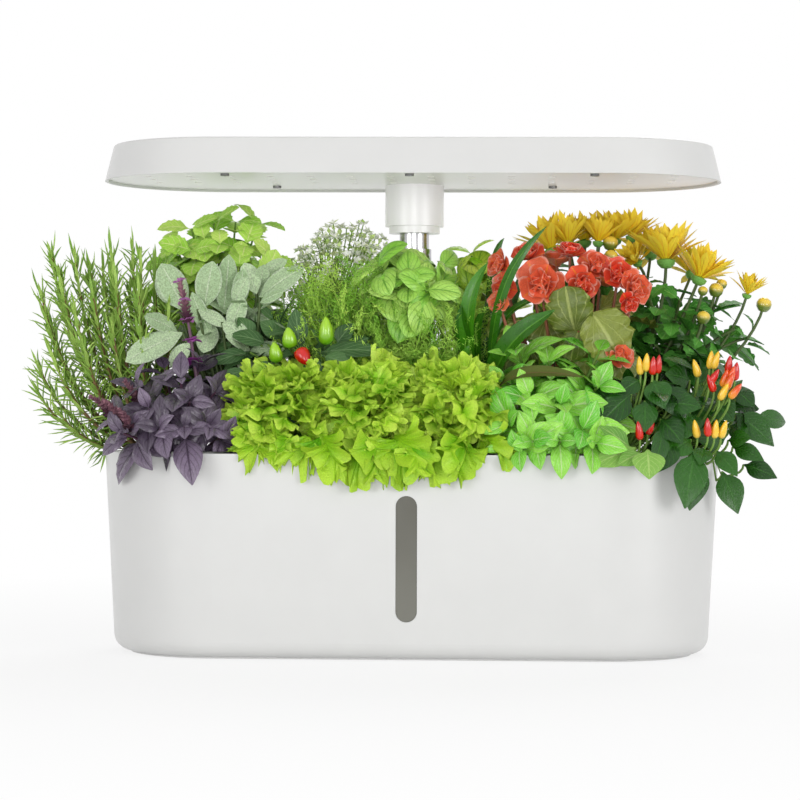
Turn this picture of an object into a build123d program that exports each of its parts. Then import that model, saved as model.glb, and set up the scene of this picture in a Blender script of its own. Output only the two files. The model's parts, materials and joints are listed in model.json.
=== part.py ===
from build123d import *
import math
import os

os.makedirs("parts", exist_ok=True)

# A countertop hydroponic garden: a water tank, a deck with planted grow baskets, a pump that hangs
# under the deck, and a grow lamp on a telescopic mast. Millimetres, +Z up, -Y is the front.
# The origin is on the table, at the centre of the ring that the tank rests on.

# ---- Driving dimensions ----------------------------------------------------------------------
# Water tank: a bowl with a stadium plan that narrows downwards
tank_length = 385.0
tank_depth = 150.0
tank_height = 125.0
tank_draft = 3.0
tank_wall = 3.0
tank_floor = 3.0
tank_edge_radius = 10.0
rim_lip = 1.4
rest_ring_height = 1.2
rest_ring_width = 3.0
foot_pad_radius = 8.0
foot_pad_margin = 4.0

# Sight window in the front wall
window_width = 12.9
window_height = 76.5
window_middle_height = 62.0
window_recess = 0.4
window_flange_width = 3.0
window_flange_thickness = 1.6
gasket_thickness = 0.8

# Deck
deck_thickness = 3.0
deck_below_rim = 0.5
deck_skirt_depth = 8.0
deck_skirt_wall = 2.0

# Grow baskets and sponges
basket_flange_radius = 17.0
basket_flange_thickness = 1.5
basket_top_radius = 14.1
basket_bottom_radius = 11.5
basket_depth = 50.0
basket_wall = 1.2
basket_slot_width = 3.0
basket_slot_height = 28.0
basket_drain_radius = 4.0
sponge_hole_radius = 3.8
sponge_hole_depth = 12.0
stem_radius = 3.5
row_margin = 12.0
end_pod_margin = 17.7
front_row_overrun = 7.5
back_row_overrun = 8.5

# Fill port and its lid, behind the middle of the deck
port_length = 24.0
port_depth = 18.0
lid_overlap = 3.0
lid_thickness = 2.0
lid_tab_depth = 4.0
hinge_pin_radius = 1.0
hinge_knuckle_radius = 2.4
hinge_knuckle_length = 12.0
hinge_ear_length = 4.0

# Mast
mast_setback = 33.0
socket_flange_radius = 19.0
socket_flange_thickness = 3.0
socket_wall = 2.0
socket_height = 12.0
socket_drop = 20.0
socket_floor = 2.0
socket_screw_count = 3
socket_screw_circle = 15.6
cable_hole_radius = 4.0
inner_tube_radius = 9.5
inner_tube_wall = 1.0
inner_tube_length = 194.0
outer_tube_wall = 0.95
collar_wall = 0.5
collar_height = 12.0
mast_gap = 10.1
mast_cable_radius = 3.0

# Lamp head: a shallow stadium-plan shell that narrows upwards
lamp_length = 387.0
lamp_depth = 150.0
lamp_rim_height = 294.5
lamp_thickness = 22.3
lamp_draft = 13.9
lamp_wall = 2.0
lamp_edge_radius = 1.5
panel_recess = 1.5
panel_thickness = 2.0
neck_radius = 18.9
neck_drop = 26.3
neck_ring_radius = 16.35
neck_ring_height = 4.5
neck_spigot_radius = 14.0
panel_boss_radius = 4.0
front_screw_spacing = 113.0
front_screw_row = 50.0
rear_screw_spacing = 89.0
rear_screw_row = 42.0
led_board_thickness = 1.6
led_board_margin = 6.0
led_size = 3.6
led_height = 1.6
led_columns = 14
led_column_pitch = 25.0
led_rows = 3
led_row_pitch = 24.0
led_middle_row = -6.0

# Buttons, switches and control board on top of the lamp
button_radius = 5.8
button_flange_width = 1.4
button_flange_thickness = 1.2
button_rise = 0.8
button_travel = 0.6
button_spacing = 26.0
button_row = -20.0
switch_side = 6.0
switch_body_height = 3.1
switch_plunger_radius = 1.7
switch_plunger_height = 0.5
control_board_length = 92.0
control_board_depth = 26.0
control_board_thickness = 1.6
board_boss_radius = 3.0
board_boss_offset = 39.0

# Fasteners
screw_head_radius = 2.7
screw_head_height = 1.4
screw_shank_radius = 1.3
screw_shank_length = 8.0
board_screw_length = 3.0
screw_recess_arm = 1.6
screw_recess_half_width = 0.38

# Pump
pump_x = 78.0
pump_y = 21.0
pump_length = 38.0
pump_width = 30.0
pump_height = 28.0
pump_foot_radius = 4.0
pump_foot_height = 3.0
pump_foot_inset = 6.0
chamber_radius = 11.5
chamber_depth = 9.0
magnet_radius = 7.5
magnet_length = 14.0
pump_shaft_radius = 1.0
rotor_end_gap = 0.4
impeller_disc_thickness = 1.6
impeller_blade_count = 6
impeller_blade_thickness = 1.2
impeller_gap = 1.0
pump_shaft_inset = 1.0
pump_cover_thickness = 3.0
pump_filter_thickness = 5.0
intake_radius = 5.0
outlet_width = 5.0
riser_radius = 4.0
riser_wall = 1.0
riser_socket_wall = 2.0
riser_socket_depth = 8.0
riser_hole_radius = 1.6
pump_cable_radius = 1.5
pump_cable_rise = 14.0
pump_cable_bend = 6.3

# Power inlet in the rear of the deck's skirt, behind a notch in the tank's rim
jack_x = 64.0
jack_barrel_radius = 4.0
jack_socket_radius = 2.9
jack_socket_depth = 9.0
jack_pin_radius = 1.0
jack_pin_inset = 1.0
jack_nut_radius = 6.0
jack_nut_thickness = 2.2
jack_notch_margin = 1.2
jack_body_side = 10.0
jack_body_depth = 8.0
jack_drop = 8.5
jack_proud = 3.2

# Plants: the levels are heights over the deck where a plant spreads over its lower neighbours
leaf_thickness = 1.4
stem_height = 15.5
cell_gap = 0.6
canopy_gap = 0.6
lettuce_spread = 12.0
crown_rise = 48.0
shrub_rise = 66.0
basil_rise = 88.0
top_rise = 111.0

# Clearances
slip_gap = 0.3
running_gap = 0.05
seat_gap = 0.3
mast_stop_gap = 0.4

# ---- Places worked out from the dimensions ----------------------------------------------------
draft_slope = math.tan(math.radians(tank_draft))
deck_top = tank_height - deck_below_rim
deck_bottom = deck_top - deck_thickness
tank_inside_floor = rest_ring_height + tank_floor
deck_length = tank_length - 2 * (rim_lip + slip_gap)
deck_depth = tank_depth - 2 * (rim_lip + slip_gap)

row_y = deck_depth / 2 - row_margin - basket_flange_radius
straight_half = (tank_length - tank_depth) / 2
middle_pitch = (deck_length / 2 - end_pod_margin - basket_flange_radius) / 3
front_pitch = (straight_half + front_row_overrun) / 2.5
back_pitch = (straight_half + back_row_overrun) / 3

mast_y = tank_depth / 2 - mast_setback
outer_tube_bore = inner_tube_radius + running_gap
outer_tube_radius = outer_tube_bore + outer_tube_wall
collar_radius = outer_tube_radius + collar_wall
socket_radius = outer_tube_radius + running_gap + socket_wall
panel_bottom = lamp_rim_height + panel_recess
panel_top = panel_bottom + panel_thickness
lamp_top = lamp_rim_height + lamp_thickness
lamp_ceiling = lamp_top - lamp_wall
neck_bottom = panel_bottom - neck_drop
neck_ring_bottom = neck_bottom - neck_ring_height
outer_tube_top = neck_ring_bottom - mast_gap
mast_down_travel = mast_gap - mast_stop_gap
outer_tube_bottom = deck_bottom - socket_drop + socket_floor
inner_tube_top = lamp_ceiling - lamp_wall
inner_tube_bottom = inner_tube_top - inner_tube_length

port_x = back_pitch
port_y = row_y
hinge_y = port_y + port_depth / 2 + lid_overlap + hinge_knuckle_radius
hinge_z = deck_top + hinge_knuckle_radius + seat_gap
jack_z = deck_bottom - jack_drop
tongue_half = jack_nut_radius + 2 * jack_notch_margin

bottom = (Align.CENTER, Align.CENTER, Align.MIN)
tiny = 0.01
beyond = 60.0


# ---- Shared shapes ----------------------------------------------------------------------------
def disc(radius, z_low, z_high, x=0.0, y=0.0):
    """An upright cylinder between two heights."""
    return Pos(x, y, z_low) * Cylinder(radius, z_high - z_low, align=bottom)


def tube(outer, inner, z_low, z_high, x=0.0, y=0.0):
    """An upright tube between two heights."""
    return disc(outer, z_low, z_high, x, y) - disc(inner, z_low, z_high, x, y)


def block(xs, ys, zs):
    """A box from its lowest to its highest corner."""
    middle = [(low + high) / 2 for low, high in (xs, ys, zs)]
    return Pos(*middle) * Box(xs[1] - xs[0], ys[1] - ys[0], zs[1] - zs[0])


def rod_along_y(radius, y_low, y_high, x, z):
    """A cylinder that lies front to back."""
    middle = Pos(x, (y_low + y_high) / 2, z) * Rot(90, 0, 0)
    return middle * Cylinder(radius, y_high - y_low)


def rod_along_x(radius, x_low, x_high, y, z):
    """A cylinder that lies left to right."""
    middle = Pos((x_low + x_high) / 2, y, z) * Rot(0, 90, 0)
    return middle * Cylinder(radius, x_high - x_low)


def stadium(length, depth, z_wide, z_narrow, draft=0.0):
    """A stadium-plan block: full size at z_wide, drafted inwards towards z_narrow."""
    face = Plane.XY.offset(z_wide) * SlotOverall(length, depth)
    if draft:
        return extrude(face, amount=z_narrow - z_wide, taper=draft)
    return extrude(face, amount=z_narrow - z_wide)


def save(shape, name):
    """Write one sub-part."""
    export_step(shape, f"parts/{name}.step")
    return shape


def group(shapes):
    """Several separate solids as one shape."""
    return Compound(children=list(shapes))


# ---- Tank -------------------------------------------------------------------------------------
def tank_narrowing(z):
    """How far the tank's wall has moved inwards at a height."""
    return (tank_height - z) * draft_slope


def make_tank():
    shell = stadium(tank_length, tank_depth, tank_height, rest_ring_height, tank_draft)
    shell = fillet(shell.edges().group_by(Axis.Z)[0], tank_edge_radius)
    cavity = stadium(
        tank_length - 2 * tank_wall,
        tank_depth - 2 * tank_wall,
        tank_height,
        tank_inside_floor,
        tank_draft,
    )
    cavity = fillet(cavity.edges().group_by(Axis.Z)[0], tank_edge_radius - tank_wall)
    lip_pocket = stadium(
        tank_length - 2 * rim_lip, tank_depth - 2 * rim_lip, tank_height + tiny, deck_bottom
    )
    ring_inset = 2 * (tank_narrowing(rest_ring_height) + tank_edge_radius)
    ring_length = tank_length - ring_inset
    ring_depth = tank_depth - ring_inset
    ring = stadium(ring_length, ring_depth, rest_ring_height, 0)
    ring -= stadium(
        ring_length - 2 * rest_ring_width, ring_depth - 2 * rest_ring_width, rest_ring_height, 0
    )
    notch_radius = jack_nut_radius + jack_notch_margin
    notch = rod_along_y(notch_radius, tank_depth / 2 - beyond / 4, tank_depth, jack_x, jack_z)
    notch += block(
        (jack_x - notch_radius, jack_x + notch_radius),
        (tank_depth / 2 - beyond / 4, tank_depth),
        (jack_z, tank_height + beyond),
    )
    return shell + ring - cavity - lip_pocket - notch - window_slab(0, -tiny, tank_wall * 2)


def make_foot_pads():
    inset = tank_narrowing(rest_ring_height) + tank_edge_radius + rest_ring_width + foot_pad_margin
    y = tank_depth / 2 - inset - foot_pad_radius
    return group(
        disc(foot_pad_radius, 0, rest_ring_height, side_x * straight_half, side_y * y)
        for side_x in (-1, 1)
        for side_y in (-1, 1)
    )


# ---- Sight window -----------------------------------------------------------------------------
def window_slab(grow, front, back):
    """A slab with the window's outline, between two depths behind the tank's drafted front face."""
    tilt = math.radians(tank_draft)
    wall = Plane(
        origin=(0, tank_narrowing(window_middle_height) - tank_depth / 2, window_middle_height),
        x_dir=(1, 0, 0),
        z_dir=(0, math.cos(tilt), math.sin(tilt)),
    )
    outline = SlotOverall(window_height + 2 * grow, window_width + 2 * grow, rotation=90)
    return extrude(wall.offset(front) * outline, amount=back - front)


def make_sight_window():
    inner_face = tank_wall * math.cos(math.radians(tank_draft))
    flange_front = inner_face + gasket_thickness
    lens = window_slab(-slip_gap / 2, window_recess, flange_front)
    return lens + window_slab(
        window_flange_width, flange_front, flange_front + window_flange_thickness
    )


def make_window_gasket():
    inner_face = tank_wall * math.cos(math.radians(tank_draft))
    ring = window_slab(window_flange_width, inner_face, inner_face + gasket_thickness)
    return ring - window_slab(0, inner_face - tiny, inner_face + gasket_thickness + tiny)


# ---- Pods -------------------------------------------------------------------------------------
pots = {
    "purple_basil": (-2.5 * front_pitch, -row_y),
    "lettuce_left": (-1.5 * front_pitch, -row_y),
    "lettuce_middle": (-0.5 * front_pitch, -row_y),
    "lettuce_right": (0.5 * front_pitch, -row_y),
    "bright_basil": (1.5 * front_pitch, -row_y),
    "ornamental_chili_front": (2.5 * front_pitch, -row_y),
    "rosemary": (-3 * middle_pitch, 0.0),
    "sage": (-2 * middle_pitch, 0.0),
    "green_chili": (-middle_pitch, 0.0),
    "dill": (0.0, 0.0),
    "long_leaf_plant": (middle_pitch, 0.0),
    "begonia": (2 * middle_pitch, 0.0),
    "ornamental_chili_side": (3 * middle_pitch, 0.0),
    "lemon_balm": (-3 * back_pitch, row_y),
    "white_thyme": (-2 * back_pitch, row_y),
    "sweet_basil": (-back_pitch, row_y),
    "large_basil": (2 * back_pitch, row_y),
    "chrysanthemum": (3 * back_pitch, row_y),
}


def make_basket(x, y):
    """A tapered net cup that hangs by its flange in a hole of the deck."""
    low = deck_top - basket_depth
    cup = Pos(x, y, low) * Cone(
        basket_bottom_radius, basket_top_radius, basket_depth, align=bottom
    )
    cup += disc(basket_flange_radius, deck_top, deck_top + basket_flange_thickness, x, y)
    cup -= Pos(x, y, low + basket_wall) * Cone(
        basket_bottom_radius - basket_wall,
        basket_top_radius - basket_wall,
        basket_depth + basket_flange_thickness,
        align=bottom,
    )
    cup -= disc(basket_drain_radius, low - tiny, low + basket_wall + tiny, x, y)
    slot_low = low + 3 * basket_wall
    slot = (slot_low, slot_low + basket_slot_height)
    half = basket_slot_width / 2
    cup -= block((x - beyond / 4, x + beyond / 4), (y - half, y + half), slot)
    cup -= block((x - half, x + half), (y - beyond / 4, y + beyond / 4), slot)
    return cup


def make_sponge(x, y):
    """A tapered growing sponge with a planting hole in its top."""
    low = deck_top - basket_depth + basket_wall
    plug = Pos(x, y, low) * Cone(
        basket_bottom_radius - basket_wall - slip_gap,
        basket_top_radius - basket_wall - 2 * slip_gap,
        deck_top - low,
        align=bottom,
    )
    return plug - disc(sponge_hole_radius, deck_top - sponge_hole_depth, deck_top + tiny, x, y)


# ---- Deck -------------------------------------------------------------------------------------
def skirt_inset():
    """How far the skirt's outer face stands in from the tank's rim line."""
    return tank_wall + tank_narrowing(jack_z - tongue_half) + slip_gap


def make_deck():
    plate = stadium(deck_length, deck_depth, deck_top, deck_bottom)
    skirt_bottom = deck_bottom - deck_skirt_depth
    skirt_length = tank_length - 2 * skirt_inset()
    skirt_depth = tank_depth - 2 * skirt_inset()
    skirt = stadium(skirt_length, skirt_depth, deck_bottom, skirt_bottom)
    skirt -= stadium(
        skirt_length - 2 * deck_skirt_wall,
        skirt_depth - 2 * deck_skirt_wall,
        deck_bottom,
        skirt_bottom,
    )
    skirt += block(
        (jack_x - tongue_half, jack_x + tongue_half),
        (skirt_depth / 2 - deck_skirt_wall, skirt_depth / 2),
        (jack_z - tongue_half, deck_bottom),
    )
    riser_socket = tube(
        riser_radius + running_gap + riser_socket_wall,
        riser_radius + running_gap,
        deck_bottom - riser_socket_depth,
        deck_bottom,
        pump_x,
        pump_y,
    )
    deck = plate + skirt + riser_socket
    ear_gap = hinge_knuckle_length / 2 + slip_gap
    for side in (-1, 1):
        near, far = port_x + side * ear_gap, port_x + side * (ear_gap + hinge_ear_length)
        ear = rod_along_x(hinge_knuckle_radius, min(near, far), max(near, far), hinge_y, hinge_z)
        ear += block(
            (min(near, far), max(near, far)),
            (hinge_y - hinge_knuckle_radius, hinge_y + hinge_knuckle_radius),
            (deck_top, hinge_z),
        )
        deck += ear
    deck -= rod_along_x(
        hinge_pin_radius, port_x - beyond / 2, port_x + beyond / 2, hinge_y, hinge_z
    )
    deck -= [
        disc(basket_top_radius + slip_gap, deck_bottom - tiny, deck_top + tiny, x, y)
        for x, y in pots.values()
    ]
    deck -= block(
        (port_x - port_length / 2, port_x + port_length / 2),
        (port_y - port_depth / 2, port_y + port_depth / 2),
        (deck_bottom - tiny, deck_top + tiny),
    )
    deck -= disc(socket_radius + slip_gap / 2, deck_bottom - tiny, deck_top + tiny, 0, mast_y)
    deck -= [
        disc(screw_shank_radius, deck_bottom - tiny, deck_top + tiny, x, y)
        for x, y in socket_screw_places()
    ]
    deck -= rod_along_y(
        jack_barrel_radius + running_gap, tank_depth / 2 - beyond / 2, tank_depth, jack_x, jack_z
    )
    return deck


def make_fill_port_lid():
    half_length = port_length / 2 + lid_overlap
    front = port_y - port_depth / 2 - lid_overlap
    low = deck_top + seat_gap
    back = hinge_y - hinge_knuckle_radius - slip_gap
    plate = block(
        (port_x - half_length, port_x + half_length), (front, back), (low, low + lid_thickness)
    )
    tab_half = port_length / 4
    plate += block(
        (port_x - tab_half, port_x + tab_half),
        (front - lid_tab_depth, front),
        (low, low + lid_thickness),
    )
    half_knuckle = hinge_knuckle_length / 2
    plate += block(
        (port_x - half_knuckle, port_x + half_knuckle), (back, hinge_y), (low, low + lid_thickness)
    )
    plate += rod_along_x(
        hinge_knuckle_radius, port_x - half_knuckle, port_x + half_knuckle, hinge_y, hinge_z
    )
    return plate - rod_along_x(
        hinge_pin_radius + running_gap, port_x - beyond / 2, port_x + beyond / 2, hinge_y, hinge_z
    )


def make_hinge_pin():
    half = hinge_knuckle_length / 2 + slip_gap + hinge_ear_length
    return rod_along_x(hinge_pin_radius, port_x - half, port_x + half, hinge_y, hinge_z)


# ---- Mast -------------------------------------------------------------------------------------
def socket_screw_places():
    step = 2 * math.pi / socket_screw_count
    return [
        (
            socket_screw_circle * math.sin(step * number),
            mast_y - socket_screw_circle * math.cos(step * number),
        )
        for number in range(socket_screw_count)
    ]


def make_mast_socket():
    """A flanged cup on the deck that the mast's outer tube stands in."""
    flange_top = deck_top + socket_flange_thickness
    cup = disc(socket_flange_radius, deck_top, flange_top, 0, mast_y)
    cup += disc(socket_radius, deck_bottom - socket_drop, deck_top + socket_height, 0, mast_y)
    cup -= disc(
        outer_tube_radius + running_gap,
        outer_tube_bottom,
        deck_top + socket_height + tiny,
        0,
        mast_y,
    )
    cup -= disc(cable_hole_radius, outer_tube_bottom - beyond, outer_tube_bottom, 0, mast_y)
    cup -= [
        disc(screw_shank_radius + running_gap, deck_top - tiny, flange_top + tiny, x, y)
        for x, y in socket_screw_places()
    ]
    return cup


def make_socket_screws():
    flange_top = deck_top + socket_flange_thickness
    return group(
        disc(screw_head_radius, flange_top, flange_top + screw_head_height, x, y)
        + disc(screw_shank_radius, deck_bottom, flange_top, x, y)
        for x, y in socket_screw_places()
    )


def make_neck():
    """The lamp's neck: a round boss under the panel, with a spigot up to the shell's ceiling."""
    bore = inner_tube_radius + running_gap
    neck = disc(neck_radius, neck_bottom, panel_bottom, 0, mast_y)
    neck += disc(neck_spigot_radius, panel_bottom, lamp_ceiling, 0, mast_y)
    return neck - disc(bore, neck_bottom - tiny, inner_tube_top, 0, mast_y)


# ---- Lamp -------------------------------------------------------------------------------------
def panel_screw_places():
    front = [(side * front_screw_spacing, -front_screw_row) for side in (-1, 0, 1)]
    rear = [(side * rear_screw_spacing, rear_screw_row) for side in (-1, 1)]
    return front + rear


def button_places():
    return {
        "light_button": (-button_spacing, button_row),
        "pump_button": (0.0, button_row),
        "timer_button": (button_spacing, button_row),
    }


flange_bottom = lamp_ceiling - seat_gap / 3 - button_flange_thickness
plunger_top = flange_bottom - button_travel - seat_gap
switch_top = plunger_top - switch_plunger_height
control_board_top = switch_top - switch_body_height
control_board_bottom = control_board_top - control_board_thickness


def board_boss_places():
    return [(side * board_boss_offset, button_row) for side in (-1, 1)]


def make_lamp_shell():
    shell = stadium(lamp_length, lamp_depth, lamp_rim_height, lamp_top, lamp_draft)
    shell = fillet(shell.edges().group_by(Axis.Z)[-1], lamp_edge_radius)
    shell -= stadium(
        lamp_length - 2 * lamp_wall,
        lamp_depth - 2 * lamp_wall,
        lamp_rim_height - tiny,
        lamp_ceiling,
        lamp_draft,
    )
    shell += [
        disc(panel_boss_radius, panel_top, lamp_ceiling, x, y) for x, y in panel_screw_places()
    ]
    shell += [
        disc(board_boss_radius, control_board_top, lamp_ceiling, x, y)
        for x, y in board_boss_places()
    ]
    shell -= [
        disc(screw_shank_radius, panel_top - tiny, panel_bottom + screw_shank_length, x, y)
        for x, y in panel_screw_places()
    ]
    shell -= [
        disc(screw_shank_radius, control_board_top - tiny, lamp_ceiling - lamp_wall, x, y)
        for x, y in board_boss_places()
    ]
    shell -= [
        disc(button_radius + slip_gap, lamp_ceiling - tiny, lamp_top + tiny, x, y)
        for x, y in button_places().values()
    ]
    return shell


def led_places():
    columns = [(number - (led_columns - 1) / 2) * led_column_pitch for number in range(led_columns)]
    rows = [
        led_middle_row + (number - (led_rows - 1) / 2) * led_row_pitch for number in range(led_rows)
    ]
    return [(x, y) for x in columns for y in rows]


def led_block(x, y, grow, z_low, z_high):
    half = led_size / 2 + grow
    return block((x - half, x + half), (y - half, y + half), (z_low, z_high))


def make_lamp_panel():
    shell_narrowing = (panel_top - lamp_rim_height) * math.tan(math.radians(lamp_draft))
    narrowing = 2 * (lamp_wall + slip_gap + shell_narrowing)
    panel = stadium(lamp_length - narrowing, lamp_depth - narrowing, panel_bottom, panel_top)
    panel -= disc(neck_spigot_radius + slip_gap, panel_bottom - tiny, panel_top + tiny, 0, mast_y)
    panel -= [
        disc(screw_shank_radius + slip_gap, panel_bottom - tiny, panel_top + tiny, x, y)
        for x, y in panel_screw_places()
    ]
    return panel - [
        led_block(x, y, slip_gap, panel_bottom - tiny, panel_top + tiny) for x, y in led_places()
    ]


def make_led_board():
    half_x = (led_columns - 1) / 2 * led_column_pitch + led_board_margin
    half_y = (led_rows - 1) / 2 * led_row_pitch + led_board_margin - 2 * slip_gap
    return block(
        (-half_x, half_x),
        (led_middle_row - half_y, led_middle_row + half_y),
        (panel_top, panel_top + led_board_thickness),
    )


def make_led_chips():
    return group(led_block(x, y, 0, panel_top - led_height, panel_top) for x, y in led_places())


def cross_recess(x, y, z):
    """A cross-shaped driver recess in the underside of a screw head."""
    arm = screw_recess_arm
    slot = screw_recess_half_width
    depth = (z - tiny, z + screw_head_height / 2)
    return block((x - arm, x + arm), (y - slot, y + slot), depth) + block(
        (x - slot, x + slot), (y - arm, y + arm), depth
    )


def make_hanging_screw(x, y, seat, length):
    """A screw driven upwards, its head under the seat."""
    head_bottom = seat - screw_head_height
    screw = disc(screw_head_radius, head_bottom, seat, x, y)
    screw += disc(screw_shank_radius, seat, seat + length, x, y)
    return screw - cross_recess(x, y, head_bottom)


def make_control_board():
    half_x, half_y = control_board_length / 2, control_board_depth / 2
    board = block(
        (-half_x, half_x),
        (button_row - half_y, button_row + half_y),
        (control_board_bottom, control_board_top),
    )
    return board - [
        disc(screw_shank_radius, control_board_bottom - tiny, control_board_top + tiny, x, y)
        for x, y in board_boss_places()
    ]


def make_switch(x, y):
    half = switch_side / 2
    body = block((x - half, x + half), (y - half, y + half), (control_board_top, switch_top))
    return body + disc(switch_plunger_radius, switch_top, plunger_top, x, y)


def make_button(x, y):
    """A button cap, held under the shell by its flange, with a shallow dish in its top."""
    top = lamp_top + button_rise
    cap = disc(button_radius, flange_bottom, top, x, y)
    cap += disc(
        button_radius + button_flange_width,
        flange_bottom,
        flange_bottom + button_flange_thickness,
        x,
        y,
    )
    cap = fillet(cap.edges().group_by(Axis.Z)[-1], button_rise / 2)
    dish_radius = button_radius * 3
    return cap - Pos(x, y, top + dish_radius - button_rise / 2) * Sphere(dish_radius)


# ---- Pump -------------------------------------------------------------------------------------
pump_bottom = tank_inside_floor + seat_gap + pump_foot_height
pump_top = pump_bottom + pump_height
pump_front = pump_y - pump_width / 2
pump_back = pump_y + pump_width / 2
rotor_z = pump_bottom + pump_height / 2
chamber_back = pump_front + chamber_depth
magnet_back = chamber_back + magnet_length


def make_pump_housing():
    half = pump_length / 2
    body = block((pump_x - half, pump_x + half), (pump_front, pump_back), (pump_bottom, pump_top))
    body = fillet(body.edges().filter_by(Axis.Z), pump_foot_inset / 2)
    body -= rod_along_y(chamber_radius, pump_front - tiny, chamber_back, pump_x, rotor_z)
    magnet_bore = magnet_radius + 4 * running_gap
    body -= rod_along_y(
        magnet_bore, chamber_back - tiny, magnet_back + rotor_end_gap, pump_x, rotor_z
    )
    shaft_end = magnet_back + rotor_end_gap + 2 * pump_shaft_radius
    body -= rod_along_y(pump_shaft_radius, chamber_back, shaft_end, pump_x, rotor_z)
    outlet_y = pump_front + chamber_depth / 2
    channel_top = pump_top - 2 * riser_wall - outlet_width / 2
    half_channel = outlet_width / 2
    xs = (pump_x - half_channel, pump_x + half_channel)
    body -= block(xs, (outlet_y - half_channel, outlet_y + half_channel), (rotor_z, channel_top))
    body -= block(
        xs, (outlet_y - half_channel, pump_y + half_channel), (channel_top - outlet_width, channel_top)
    )
    riser_hole = riser_radius + running_gap
    body -= disc(riser_radius - riser_wall, channel_top - tiny, pump_top, pump_x, pump_y)
    return body - disc(riser_hole, pump_top - 2 * riser_wall, pump_top + tiny, pump_x, pump_y)


def make_pump_cover():
    """The plate over the impeller chamber, with an intake and a boss for the shaft."""
    half = pump_length / 2
    front = pump_front - pump_cover_thickness
    plate = block((pump_x - half, pump_x + half), (front, pump_front), (pump_bottom, pump_top))
    plate -= rod_along_y(intake_radius, front - tiny, pump_front + tiny, pump_x, rotor_z)
    boss = rod_along_y(2 * pump_shaft_radius, front, pump_front, pump_x, rotor_z)
    spoke = block(
        (pump_x - intake_radius - running_gap, pump_x + intake_radius + running_gap),
        (front, pump_front),
        (rotor_z - pump_shaft_radius, rotor_z + pump_shaft_radius),
    )
    shaft_bore = rod_along_y(
        pump_shaft_radius, front + pump_shaft_inset, pump_front + tiny, pump_x, rotor_z
    )
    return plate + boss + spoke - shaft_bore


def make_pump_shaft():
    front = pump_front - pump_cover_thickness + pump_shaft_inset
    back = magnet_back + rotor_end_gap + 2 * pump_shaft_radius
    return rod_along_y(pump_shaft_radius, front, back, pump_x, rotor_z)


def make_pump_rotor():
    """A magnet with an impeller on its front end; it spins on the fixed shaft."""
    disc_front = chamber_back - rotor_end_gap - impeller_disc_thickness
    blade_front = pump_front + rotor_end_gap
    reach = chamber_radius - impeller_gap
    rotor = rod_along_y(magnet_radius, disc_front, magnet_back, pump_x, rotor_z)
    rotor += rod_along_y(reach, disc_front, chamber_back - rotor_end_gap, pump_x, rotor_z)
    rotor += rod_along_y(3 * pump_shaft_radius, blade_front, disc_front, pump_x, rotor_z)
    for number in range(impeller_blade_count):
        turn = Pos(pump_x, 0, rotor_z) * Rot(0, 360 / impeller_blade_count * number, 0)
        rotor += turn * block(
            (2 * pump_shaft_radius, reach - impeller_gap / 2),
            (blade_front, disc_front),
            (-impeller_blade_thickness / 2, impeller_blade_thickness / 2),
        )
    bore = pump_shaft_radius + running_gap
    return rotor - rod_along_y(bore, pump_front - tiny, pump_back, pump_x, rotor_z)


def make_pump_filter():
    """An open-cell foam block in front of the intake."""
    half = pump_length / 2
    back = pump_front - pump_cover_thickness
    return block(
        (pump_x - half, pump_x + half), (back - pump_filter_thickness, back), (pump_bottom, pump_top)
    )


def make_pump_feet():
    x = pump_length / 2 - pump_foot_inset
    y = pump_width / 2 - pump_foot_inset
    return group(
        disc(
            pump_foot_radius,
            pump_bottom - pump_foot_height,
            pump_bottom,
            pump_x + side_x * x,
            pump_y + side_y * y,
        )
        for side_x in (-1, 1)
        for side_y in (-1, 1)
    )


def make_pump_riser():
    """The tube that carries the pump and lifts water to the deck, with spray holes near its top."""
    low = pump_top - 2 * riser_wall
    riser = tube(riser_radius, riser_radius - riser_wall, low, deck_bottom, pump_x, pump_y)
    hole_z = deck_bottom - riser_socket_depth - 2 * riser_radius
    riser -= rod_along_x(riser_hole_radius, pump_x - beyond, pump_x + beyond, pump_y, hole_z)
    return riser


def make_pump_cable():
    """The flexible lead from the pump's lid up to the power inlet."""
    start = (pump_x + pump_length / 4, pump_y + pump_width / 4, pump_top)
    jack_back = jack_body_front() - jack_body_depth
    end = (jack_x, jack_back + jack_body_depth / 2, jack_z - jack_body_side / 2)
    route = [
        start,
        (start[0], start[1], start[2] + pump_cable_rise),
        (end[0], end[1], start[2] + 2 * pump_cable_rise),
        end,
    ]
    path = FilletPolyline(*route, radius=pump_cable_bend)
    section = Plane(origin=start, z_dir=(0, 0, 1)) * Circle(pump_cable_radius)
    return sweep(section, path=path)


# ---- Power inlet ------------------------------------------------------------------------------
def skirt_outside():
    """The skirt's outer face at the rear."""
    return tank_depth / 2 - skirt_inset()


def jack_body_front():
    return skirt_outside() - deck_skirt_wall


def make_power_inlet():
    outside = skirt_outside() + jack_proud
    back = jack_body_front() - jack_body_depth
    half = jack_body_side / 2
    inlet = block(
        (jack_x - half, jack_x + half), (back, jack_body_front()), (jack_z - half, jack_z + half)
    )
    inlet += rod_along_y(jack_barrel_radius, jack_body_front(), outside, jack_x, jack_z)
    inlet -= rod_along_y(
        jack_socket_radius, outside - jack_socket_depth, outside + tiny, jack_x, jack_z
    )
    pin_root = outside - jack_socket_depth - jack_pin_inset
    pin_tip = outside - jack_pin_inset
    return inlet + rod_along_y(jack_pin_radius, pin_root, pin_tip, jack_x, jack_z)


def make_inlet_nut():
    outside = skirt_outside()
    nut_face = Plane(origin=(jack_x, outside, jack_z), x_dir=(1, 0, 0), z_dir=(0, 1, 0))
    nut = extrude(nut_face * RegularPolygon(jack_nut_radius, 6), amount=jack_nut_thickness)
    return nut - rod_along_y(
        jack_barrel_radius + running_gap, outside - tiny, tank_depth, jack_x, jack_z
    )


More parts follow.
